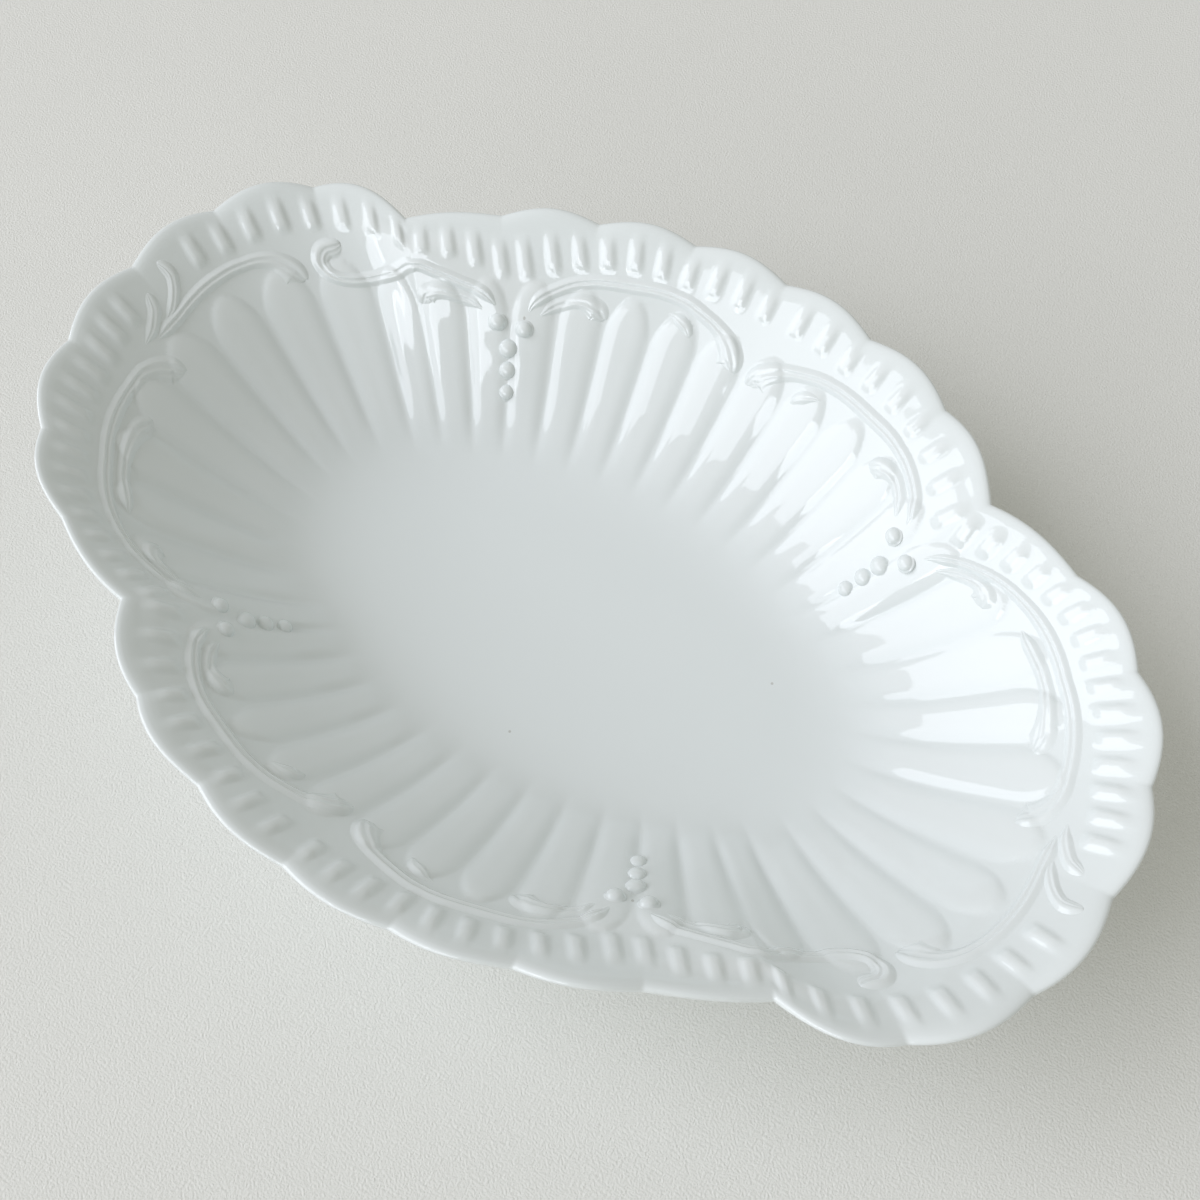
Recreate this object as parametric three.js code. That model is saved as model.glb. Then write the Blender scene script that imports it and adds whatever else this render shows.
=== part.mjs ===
// Relish dish: an oval porcelain dish with a scalloped rim, a lobed wall, applied scrolls and beads inside,
// and an oval foot ring. Millimetres, +Z up, long axis along X, origin under the middle of the foot.
//
// Places on the wall are given as a pair (n, t). n counts scallops clockwise round the rim, starting at the
// notch where the left end begins. t runs from 0 at the edge of the flat floor to 1 at the rim.
// The far side and the left end are modelled, and the near side and the right end are the same by a half turn.

import * as THREE from 'three';

// Rim outline in plan: a curve for the left end, and one for the far side, each with two handles.
const END_NOTCH = new THREE.Vector2(-71, -53.2);
const END_HANDLE_FIRST = new THREE.Vector2(-144, -43);
const END_HANDLE_LAST = new THREE.Vector2(-130, 60);
const SIDE_NOTCH = new THREE.Vector2(-77, 57);
const SIDE_HANDLE_FIRST = new THREE.Vector2(-31, 87);
const SIDE_HANDLE_LAST = new THREE.Vector2(33, 92.5);
const SCALLOPS_PER_CURVE = 7;
const SCALLOP_BULGE = 1.2;
const SCALLOP_RISE = 2;
const SCALLOP_STEEPNESS = 9;
const FIRST_SCALLOP_SHARE = 0.3;

// How far the rim leans out past the plan curves, at scallop numbers of one half
const RIM_REACH = [
  [0, 0],
  [1, -1.1],
  [3, 0.3],
  [4, 0.1],
  [5, 1.2],
  [6, 1.7],
  [7, 0],
  [8, -0.8],
  [9, -0.4],
  [10, 0.5],
  [12, 0.2],
  [13, 1.3],
  [14, 0],
];

// Height of the rim: the middle of each curve stands a little high, and the notches dip.
const RIM_RISE = 0.7;
const RIM_LIFT = 0.8;
const NOTCH_DIP = 3.2;

// Bowl
const BOWL_DEPTH = 38.5;
const LATE_SHARE = 0.4;
const FLOOR_HALF_LENGTH = 60;
const FLOOR_HALF_WIDTH = 28;
const FLOOR_START_ANGLE = 228.5;
const FLOOR_THICKNESS = 4.6;
const LIP_THICKNESS = 3.2;
const LIP_ROUND = 2.2;
const LIP_REACH = 1;
const LIP_LEAN = 0.3;
const LIP_ANGLES = [45, 90, 135];

// Foot ring
const FOOT_HEIGHT = 5;
const FOOT_WIDTH = 5;
const FOOT_INSET = 2;
const FOOT_TAPER = 0.7;
const FOOT_STEPS = 72;

// Lobes of the wall, counted between the columns of beads
const END_BEADS_AT = -0.09;
const SIDE_BEADS_AT = 8.13;
const LOBES_ON_END = 11;
const LOBES_ON_SIDE = 10;
const LOBE_HEIGHT = 1.2;
const LOBES_START = 0.12;
const LOBES_FULL = 0.38;
const LOBES_FADE = 0.66;
const LOBES_END = 0.8;

// Applied ornament
const SEAT_GAP = 0.3;
const SCROLL_WIDTH = 2.4;
const SCROLL_HEIGHT = 1.3;
const CURL_WIDTH = 1.9;
const CURL_HEIGHT = 1.1;
const RIB_TOP_SHARE = 0.6;
const RIB_SHOULDER_SHARE = 0.8;
const RIB_END_SHARE = 0.55;
const LARGE_BEAD = 4.4;
const MIDDLE_BEAD = 3.9;
const SMALL_BEAD = 3.4;
const ROOT_BEAD = 3.2;
const BEAD_RISE_SHARE = 0.42;

// Mesh density: the body's columns round the rim, in scallops, and its rows up the wall, in t; ribs and beads
const COLUMN_STEP = 0.17;
const LEAST_COLUMN_STEP = 0.04;
const INSIDE_ROWS = [0, 0.1, 0.2, 0.3, 0.4, 0.5, 0.6, 0.7, 0.8, 0.9];
const OUTSIDE_ROWS = [0.82, 0.66, 0.5, 0.34, 0.18, 0];
const RIB_STEP = 2.1;
const LEAST_RIB_STEPS = 6;
const BEAD_SIDES = 10;
const BEAD_RINGS = 3;
const MEASURING_STEP = 0.01;

// Worked out from the sizes above
const SCALLOPS_PER_HALF = 2 * SCALLOPS_PER_CURVE;
const SCALLOPS = 2 * SCALLOPS_PER_HALF;
const FLOOR_LEVEL = FOOT_HEIGHT + FLOOR_THICKNESS;

const endCurve = new THREE.CubicBezierCurve(END_NOTCH, END_HANDLE_FIRST, END_HANDLE_LAST, SIDE_NOTCH);
const sideCurve = new THREE.CubicBezierCurve(
  SIDE_NOTCH,
  SIDE_HANDLE_FIRST,
  SIDE_HANDLE_LAST,
  END_NOTCH.clone().negate(),
);

const glaze = new THREE.MeshStandardMaterial({ color: 0xdfe4e3, roughness: 0.12, metalness: 0 });

// Plan point and outward direction of the line through the scallops' cusps
function cuspLine(n) {
  const round = THREE.MathUtils.euclideanModulo(n, SCALLOPS);
  const half = Math.floor(round / SCALLOPS_PER_HALF);
  const inHalf = round - half * SCALLOPS_PER_HALF;
  const onEnd = inHalf < SCALLOPS_PER_CURVE;
  const share = (inHalf % SCALLOPS_PER_CURVE) / SCALLOPS_PER_CURVE;
  const curve = onEnd ? endCurve : sideCurve;
  const point = curve.getPointAt(share);
  const along = curve.getTangentAt(share);
  const outward = new THREE.Vector2(-along.y, along.x);
  if (half === 1) {
    point.negate();
    outward.negate();
  }
  return { point, outward, share };
}

// How far a scallop swells between its two cusps; the first one after each notch is nearly flat
function scallopSwell(n) {
  const isFirst = Math.floor(THREE.MathUtils.euclideanModulo(n, SCALLOPS_PER_CURVE)) === 0;
  return Math.abs(Math.sin(Math.PI * n)) * (isFirst ? FIRST_SCALLOP_SHARE : 1);
}

// How far the rim leans out at n
function rimReach(n) {
  const inHalf = THREE.MathUtils.euclideanModulo(n, SCALLOPS_PER_HALF);
  const last = RIM_REACH.findIndex(([at]) => at > inHalf);
  const [[from, first], [to, second]] = [RIM_REACH[last - 1], RIM_REACH[last]];
  return THREE.MathUtils.lerp(first, second, THREE.MathUtils.smoothstep(inHalf, from, to));
}

// Plan point of the edge of the flat floor
function floorEdge(n) {
  const angle = THREE.MathUtils.degToRad(FLOOR_START_ANGLE - (n * 360) / SCALLOPS);
  return new THREE.Vector2(FLOOR_HALF_LENGTH * Math.cos(angle), FLOOR_HALF_WIDTH * Math.sin(angle));
}

// Share of the bowl's depth that the wall has climbed at t, and how fast it climbs there:
// a blend of a wall that rises early and one that rises late
function wallProfile(t) {
  const climbed = THREE.MathUtils.lerp(2 * t ** 2 - t ** 3, 3 * t ** 3 - 2 * t ** 4, LATE_SHARE);
  const rate = THREE.MathUtils.lerp(4 * t - 3 * t ** 2, 9 * t ** 2 - 8 * t ** 3, LATE_SHARE);
  return { climbed, rate };
}

// Smooth wall without lobes: a point, and the unit direction into the bowl, square to the wall.
// The wall leaves the floor level and steepens, then flares again towards the rim.
function smoothWall(n, t) {
  const rim = cuspLine(n);
  const floor = floorEdge(n);
  const run = rim.point.clone().sub(floor);
  const edge = t ** SCALLOP_STEEPNESS;
  const reach = (SCALLOP_BULGE * scallopSwell(n) + rimReach(n)) * edge;
  const plan = floor.clone().addScaledVector(run, t).addScaledVector(rim.outward, reach);
  const dip = (1 - Math.sin(Math.PI * rim.share)) ** 2;
  const wave = (RIM_RISE - NOTCH_DIP * dip) * t ** 3 + (SCALLOP_RISE * scallopSwell(n) + RIM_LIFT) * edge;
  const profile = wallProfile(t);
  const height = FLOOR_LEVEL + BOWL_DEPTH * profile.climbed + wave;
  const slope = (BOWL_DEPTH * profile.rate) / run.length();
  const level = run.normalize();
  const inward = new THREE.Vector3(-slope * level.x, -slope * level.y, 1).normalize();
  return { point: new THREE.Vector3(plan.x, plan.y, height), inward };
}

// Height of the convex lobes over the smooth wall, with sharp valleys between them
function lobeHeight(n, t) {
  const inHalf = THREE.MathUtils.euclideanModulo(n - END_BEADS_AT, SCALLOPS_PER_HALF) + END_BEADS_AT;
  const onEnd = inHalf < SIDE_BEADS_AT;
  const sideEnd = END_BEADS_AT + SCALLOPS_PER_HALF;
  const share = onEnd
    ? (inHalf - END_BEADS_AT) / (SIDE_BEADS_AT - END_BEADS_AT)
    : (inHalf - SIDE_BEADS_AT) / (sideEnd - SIDE_BEADS_AT);
  const lobes = onEnd ? LOBES_ON_END : LOBES_ON_SIDE;
  const rise = THREE.MathUtils.smoothstep(t, LOBES_START, LOBES_FULL);
  const fall = 1 - THREE.MathUtils.smoothstep(t, LOBES_FADE, LOBES_END);
  return LOBE_HEIGHT * Math.abs(Math.sin(Math.PI * lobes * share)) * rise * fall;
}

// Point on the inside of the wall, lifted off it by a given height
function inside(n, t, lift = 0) {
  const wall = smoothWall(n, t);
  return wall.point.addScaledVector(wall.inward, lobeHeight(n, t) + lift);
}

// Point on the outside of the wall, dropped off it by a given clearance
function outside(n, t, clearance = 0) {
  const wall = smoothWall(n, t);
  const thickness = THREE.MathUtils.lerp(FLOOR_THICKNESS, LIP_THICKNESS, t);
  return wall.point.addScaledVector(wall.inward, -thickness - clearance);
}

// Rings of the lip, from where its rounding starts inside, over its edge, to where the outside starts
function lipRings(around) {
  const start = (n) => 1 - LIP_ROUND / cuspLine(n).point.distanceTo(floorEdge(n));
  const edge = (n, degrees) => {
    const angle = THREE.MathUtils.degToRad(degrees);
    const { point, inward } = smoothWall(n, start(n));
    const ahead = smoothWall(n, 1).point.sub(point);
    const reach = LIP_REACH * Math.sin(angle) * (1 + LIP_LEAN * Math.cos(angle));
    const depth = (LIP_THICKNESS * (1 - Math.cos(angle))) / 2;
    return point.addScaledVector(ahead, reach).addScaledVector(inward, -depth);
  };
  return [
    around.map((n) => inside(n, start(n))),
    ...LIP_ANGLES.map((degrees) => around.map((n) => edge(n, degrees))),
    around.map((n) => outside(n, start(n))),
  ];
}

// Six times the volume under a triangle, seen from the origin
function tetrahedron(a, b, c) {
  return a.dot(b.clone().cross(c));
}

// Geometry from corner points and triangles, with its faces turned outwards
function solid(points, triangles) {
  const sixVolumes = triangles.map(([a, b, c]) => tetrahedron(points[a], points[b], points[c]));
  const volume = sixVolumes.reduce((sum, part) => sum + part, 0);
  const turned = volume < 0 ? triangles.map(([a, b, c]) => [a, c, b]) : triangles;
  const geometry = new THREE.BufferGeometry().setFromPoints(points);
  geometry.setIndex(turned.flat());
  geometry.computeVertexNormals();
  return geometry;
}

// Triangles between neighbouring rings of equal size; the rings' points lie one after another
function bands(ringCount, ringSize, bandCount) {
  const triangles = [];
  for (let i = 0; i < bandCount; i += 1) {
    const here = i * ringSize;
    const next = ((i + 1) % ringCount) * ringSize;
    for (let j = 0; j < ringSize; j += 1) {
      const k = (j + 1) % ringSize;
      triangles.push([here + j, next + j, next + k], [here + j, next + k, here + k]);
    }
  }
  return triangles;
}

// Solid through rings, closed at both ends by a fan to a middle point
function loft(rings, firstMiddle, lastMiddle) {
  const ringSize = rings[0].length;
  const points = rings.flat();
  const triangles = bands(rings.length, ringSize, rings.length - 1);
  const lastRing = points.length - ringSize;
  const first = points.push(firstMiddle) - 1;
  const last = points.push(lastMiddle) - 1;
  for (let j = 0; j < ringSize; j += 1) {
    const k = (j + 1) % ringSize;
    triangles.push([first, j, k], [last, lastRing + k, lastRing + j]);
  }
  return solid(points, triangles);
}

// Solid through rings that follow each other round in a circle
function hoop(rings) {
  return solid(rings.flat(), bands(rings.length, rings[0].length, rings.length));
}

// Columns of the body: every cusp and every valley, with even steps between them
function columns() {
  const sideEnd = END_BEADS_AT + SCALLOPS_PER_HALF;
  const marks = [];
  for (let i = 0; i < SCALLOPS_PER_HALF; i += 1) {
    marks.push(i);
  }
  for (let i = 1; i < LOBES_ON_END; i += 1) {
    marks.push(THREE.MathUtils.lerp(END_BEADS_AT, SIDE_BEADS_AT, i / LOBES_ON_END));
  }
  for (let i = 0; i <= LOBES_ON_SIDE; i += 1) {
    marks.push(THREE.MathUtils.lerp(SIDE_BEADS_AT, sideEnd, i / LOBES_ON_SIDE));
  }
  marks.sort((a, b) => a - b);
  const kept = marks.filter((mark, i) => i === 0 || mark - marks[i - 1] > LEAST_COLUMN_STEP);
  const half = kept.flatMap((mark, i) => {
    const next = kept[i + 1] ?? SCALLOPS_PER_HALF;
    const steps = Math.max(1, Math.round((next - mark) / COLUMN_STEP));
    return Array.from({ length: steps }, (_, k) => mark + ((next - mark) * k) / steps);
  });
  return half.concat(half.map((n) => n + SCALLOPS_PER_HALF));
}

// Floor, wall and rim in one shell
function dishBody() {
  const around = columns();
  const rings = [
    ...INSIDE_ROWS.map((t) => around.map((n) => inside(n, t))),
    ...lipRings(around),
    ...OUTSIDE_ROWS.map((t) => around.map((n) => outside(n, t))),
  ];
  return loft(rings, new THREE.Vector3(0, 0, FLOOR_LEVEL), new THREE.Vector3(0, 0, FOOT_HEIGHT));
}

// Oval ring under the floor; its top follows the underside of the body
function footRing() {
  const rings = Array.from({ length: FOOT_STEPS }, (_, i) => {
    const n = (i * SCALLOPS) / FOOT_STEPS;
    const run = cuspLine(n).point.sub(floorEdge(n));
    const innerTop = outside(n, FOOT_INSET / run.length(), SEAT_GAP);
    const outerTop = outside(n, (FOOT_INSET + FOOT_WIDTH) / run.length(), SEAT_GAP);
    const level = run.normalize();
    const innerFoot = new THREE.Vector3(innerTop.x, innerTop.y, 0);
    innerFoot.x += level.x * FOOT_TAPER;
    innerFoot.y += level.y * FOOT_TAPER;
    const outerFoot = new THREE.Vector3(outerTop.x, outerTop.y, 0);
    outerFoot.x -= level.x * FOOT_TAPER;
    outerFoot.y -= level.y * FOOT_TAPER;
    return [innerTop, outerTop, outerFoot, innerFoot];
  });
  return hoop(rings);
}

// Millimetres on the wall for one unit of n and for one unit of t, near a place
function wallScale(n, t) {
  const here = smoothWall(n, t).point;
  const perN = smoothWall(n + MEASURING_STEP, t).point.distanceTo(here) / MEASURING_STEP;
  const perT = smoothWall(n, t + MEASURING_STEP).point.distanceTo(here) / MEASURING_STEP;
  return { perN, perT };
}

// Rib along a path of (n, t) places, seated on the wall, with its ends drawn in
function rib(path, width, height) {
  const middle = path[Math.floor(path.length / 2)];
  const scale = wallScale(...middle);
  const chart = path.map(([n, t]) => new THREE.Vector2(n * scale.perN, t * scale.perT));
  const curve = new THREE.SplineCurve(chart);
  const steps = Math.max(LEAST_RIB_STEPS, Math.round(curve.getLength() / RIB_STEP));
  const rings = [];
  for (let i = 0; i <= steps; i += 1) {
    const place = curve.getPointAt(i / steps);
    const along = curve.getTangentAt(i / steps);
    const share = i === 0 || i === steps ? RIB_END_SHARE : 1;
    const onWall = (across, lift) => {
      const reach = (across * share * width) / 2;
      const n = (place.x - along.y * reach) / scale.perN;
      const t = (place.y + along.x * reach) / scale.perT;
      return inside(n, t, SEAT_GAP + lift * share);
    };
    rings.push([
      onWall(-1, 0),
      onWall(1, 0),
      onWall(RIB_TOP_SHARE, height * RIB_SHOULDER_SHARE),
      onWall(0, height),
      onWall(-RIB_TOP_SHARE, height * RIB_SHOULDER_SHARE),
    ]);
  }
  const centre = (ring) => {
    const sum = new THREE.Vector3();
    ring.forEach((point) => sum.add(point));
    return sum.divideScalar(ring.length);
  };
  return loft(rings, centre(rings[0]), centre(rings[rings.length - 1]));
}

// Domed bead seated on the wall
function bead(n, t, diameter) {
  const scale = wallScale(n, t);
  const height = diameter * BEAD_RISE_SHARE;
  const ring = (steepness) => Array.from({ length: BEAD_SIDES }, (_, i) => {
    const angle = (i * 2 * Math.PI) / BEAD_SIDES;
    const reach = (Math.cos(steepness) * diameter) / 2;
    const atN = n + (reach * Math.cos(angle)) / scale.perN;
    const atT = t + (reach * Math.sin(angle)) / scale.perT;
    return inside(atN, atT, SEAT_GAP + height * Math.sin(steepness));
  });
  const rings = Array.from({ length: BEAD_RINGS }, (_, k) => ring((k * Math.PI) / (2 * BEAD_RINGS)));
  return loft(rings, inside(n, t, SEAT_GAP), inside(n, t, SEAT_GAP + height));
}

// Paths of the scrolls and curls, each from its root to the tip of its curl
const SCROLLS = {
  long_scroll: [
    [0.15, 0.7], [0.26, 0.735], [0.5, 0.778], [1, 0.815], [2, 0.813], [3, 0.803], [3.38, 0.778],
    [3.61, 0.737], [3.61, 0.695], [3.48, 0.687],
  ],
  short_scroll: [
    [3.62, 0.812], [3.9, 0.818], [4.25, 0.828], [4.6, 0.836], [5, 0.84], [5.33, 0.821], [5.53, 0.779],
    [5.5, 0.735], [5.36, 0.725],
  ],
  shoulder_scroll: [
    [6.1, 0.838], [5.94, 0.826], [5.87, 0.788], [5.95, 0.75], [6.18, 0.738], [6.45, 0.75], [6.75, 0.79],
    [7, 0.84], [7.25, 0.815], [7.5, 0.785], [7.8, 0.752], [7.96, 0.712],
  ],
  left_scroll: [
    [8.36, 0.695], [8.43, 0.73], [8.62, 0.768], [9, 0.816], [9.5, 0.828], [10, 0.84], [10.4, 0.812],
    [10.78, 0.777], [10.93, 0.732], [10.87, 0.688], [10.73, 0.685],
  ],
  right_scroll: [
    [13.72, 0.722], [13.64, 0.76], [13.45, 0.795], [13, 0.83], [12.5, 0.826], [12, 0.825], [11.6, 0.792],
    [11.27, 0.76], [11.13, 0.72], [11.21, 0.68], [11.37, 0.68],
  ],
};
const CURLS = {
  heel_curl: [[0.34, 0.69], [0.52, 0.73], [0.76, 0.757], [0.95, 0.742], [0.98, 0.705], [0.87, 0.69]],
  inner_curl: [[1.35, 0.762], [1.9, 0.763], [2.35, 0.757], [2.64, 0.743], [2.8, 0.715], [2.72, 0.69]],
  low_frond: [[3.66, 0.858], [3.8, 0.876], [3.88, 0.9], [3.92, 0.925]],
  high_frond: [[4, 0.868], [4.1, 0.884], [4.18, 0.914], [4.24, 0.95]],
  shoulder_curl: [
    [7.8, 0.697], [7.68, 0.718], [7.45, 0.742], [7.21, 0.76], [7.045, 0.748], [7.045, 0.711], [7.16, 0.701],
  ],
  left_curl: [[8.5, 0.69], [8.68, 0.727], [8.96, 0.757], [9.2, 0.749], [9.33, 0.713], [9.26, 0.683]],
  left_tendril: [[9.95, 0.79], [10.1, 0.782], [10.24, 0.765], [10.3, 0.74]],
  right_tendril: [[12, 0.774], [11.86, 0.76], [11.74, 0.735], [11.7, 0.71]],
  right_curl: [[13.57, 0.705], [13.4, 0.745], [13.16, 0.771], [12.96, 0.763], [12.86, 0.733], [12.94, 0.704]],
};

// Round beads at the roots of the scrolls
const ROOTS = {
  long_root: [0.08, 0.656],
  shoulder_root: [7.98, 0.662],
  left_root: [8.33, 0.646],
  right_root: [13.72, 0.672],
};

// Beads of a column, from the rim inwards
const BEADS = [
  { size: 'large', t: 0.578, diameter: LARGE_BEAD },
  { size: 'middle', t: 0.505, diameter: MIDDLE_BEAD },
  { size: 'small', t: 0.425, diameter: SMALL_BEAD },
];
const BEAD_COLUMNS = { bead_end: END_BEADS_AT, bead_side: SIDE_BEADS_AT };

function named(name, geometry) {
  const mesh = new THREE.Mesh(geometry, glaze);
  mesh.name = name;
  return mesh;
}

// Ornament of one half of the dish
function ornament(suffix) {
  const half = new THREE.Group();
  for (const [name, path] of Object.entries(SCROLLS)) {
    half.add(named(`${name}_${suffix}`, rib(path, SCROLL_WIDTH, SCROLL_HEIGHT)));
  }
  for (const [name, path] of Object.entries(CURLS)) {
    half.add(named(`${name}_${suffix}`, rib(path, CURL_WIDTH, CURL_HEIGHT)));
  }
  for (const [name, [n, t]] of Object.entries(ROOTS)) {
    half.add(named(`${name}_${suffix}`, bead(n, t, ROOT_BEAD)));
  }
  for (const [name, n] of Object.entries(BEAD_COLUMNS)) {
    for (const { size, t, diameter } of BEADS) {
      half.add(named(`${name}_${size}_${suffix}`, bead(n, t, diameter)));
    }
  }
  return half;
}

const dish = new THREE.Group();
dish.add(named('dish_body', dishBody()));
dish.add(named('foot_ring', footRing()));
dish.add(ornament('a'));
const otherHalf = ornament('b');
otherHalf.rotation.z = Math.PI;
dish.add(otherHalf);

export default dish;
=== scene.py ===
"""Relish dish: the looks of a scalloped porcelain dish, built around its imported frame.

Places on the wall are pairs (n, t). n counts scallops clockwise round the rim from the notch where the left
end begins, and t runs from 0 at the edge of the flat floor to 1 at the rim. Sizes are in millimetres, and a
mesh is turned to metres when it is made.
"""
import logging
import math
from dataclasses import dataclass, fields
from enum import Enum
from functools import cached_property

import bpy
import numpy as np
from bpy.types import Material, Mesh, Node, NodeSocket, NodeTree, Object
from mathutils import Matrix, Vector

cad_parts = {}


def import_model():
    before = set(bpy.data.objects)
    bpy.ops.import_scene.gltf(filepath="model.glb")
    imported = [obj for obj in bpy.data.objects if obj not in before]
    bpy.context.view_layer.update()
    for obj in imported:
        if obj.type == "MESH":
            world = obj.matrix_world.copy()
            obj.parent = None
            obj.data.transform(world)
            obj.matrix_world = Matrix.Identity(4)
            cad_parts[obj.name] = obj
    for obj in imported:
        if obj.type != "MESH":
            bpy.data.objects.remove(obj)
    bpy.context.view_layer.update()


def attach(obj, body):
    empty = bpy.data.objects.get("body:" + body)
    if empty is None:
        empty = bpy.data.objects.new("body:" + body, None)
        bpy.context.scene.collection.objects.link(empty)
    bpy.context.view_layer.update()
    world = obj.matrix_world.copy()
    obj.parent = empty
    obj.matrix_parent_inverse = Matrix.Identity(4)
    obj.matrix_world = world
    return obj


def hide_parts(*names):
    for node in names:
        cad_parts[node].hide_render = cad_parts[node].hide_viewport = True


LOG = logging.getLogger("relish_dish")
MM = 0.001
BODY = "root"

Plan = tuple[float, float]
Place = tuple[float, float]
Colour = tuple[float, float, float]


class Half(Enum):
    """The two halves of the dish, which repeat by a half turn."""

    A = ("a", 0.0)
    B = ("b", 14.0)

    @property
    def suffix(self) -> str:
        """Letter that ends the names of this half's pieces."""
        return self.value[0]

    @property
    def first(self) -> float:
        """Scallop number at which this half begins."""
        return self.value[1]


def smoothstep(x: np.ndarray, low: np.ndarray | float, high: np.ndarray | float) -> np.ndarray:
    """Smooth step from 0 at low to 1 at high."""
    share = np.clip((x - low) / (high - low), 0.0, 1.0)
    return share * share * (3.0 - 2.0 * share)


def unit(vectors: np.ndarray) -> np.ndarray:
    """Vectors scaled to a length of one."""
    return vectors / np.linalg.norm(vectors, axis=-1, keepdims=True)


def travelled(points: np.ndarray) -> np.ndarray:
    """Distances along a line of points, from the first one to each."""
    return np.concatenate([[0.0], np.cumsum(np.linalg.norm(np.diff(points, axis=0), axis=1))])


@dataclass(frozen=True)
class PlanCurve:
    """One curve of the rim's outline: a start, two handles and an end."""

    start: Plan
    first_handle: Plan
    last_handle: Plan
    end: Plan
    steps: int = 2000

    @cached_property
    def table(self) -> tuple[np.ndarray, np.ndarray, np.ndarray]:
        """Points along the curve.

        Returns:
            The points, the unit directions there, and each point's share of the whole length.
        """
        p0, p1, p2, p3 = (np.array(p) for p in (self.start, self.first_handle, self.last_handle, self.end))
        u = np.linspace(0.0, 1.0, self.steps + 1)[:, None]
        v = 1.0 - u
        points = v**3 * p0 + 3 * v**2 * u * p1 + 3 * v * u**2 * p2 + u**3 * p3
        directions = unit(v**2 * (p1 - p0) + 2 * v * u * (p2 - p1) + u**2 * (p3 - p2))
        lengths = travelled(points)
        return points, directions, lengths / lengths[-1]

    def at(self, share: np.ndarray) -> tuple[np.ndarray, np.ndarray]:
        """Places on the curve.

        Args:
            share: shares of the curve's length, from 0 to 1.

        Returns:
            The points and the unit directions there.
        """
        points, directions, shares = self.table
        point, direction = (np.stack([np.interp(share, shares, axis) for axis in rows.T], -1)
                            for rows in (points, directions))
        return point, direction


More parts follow.
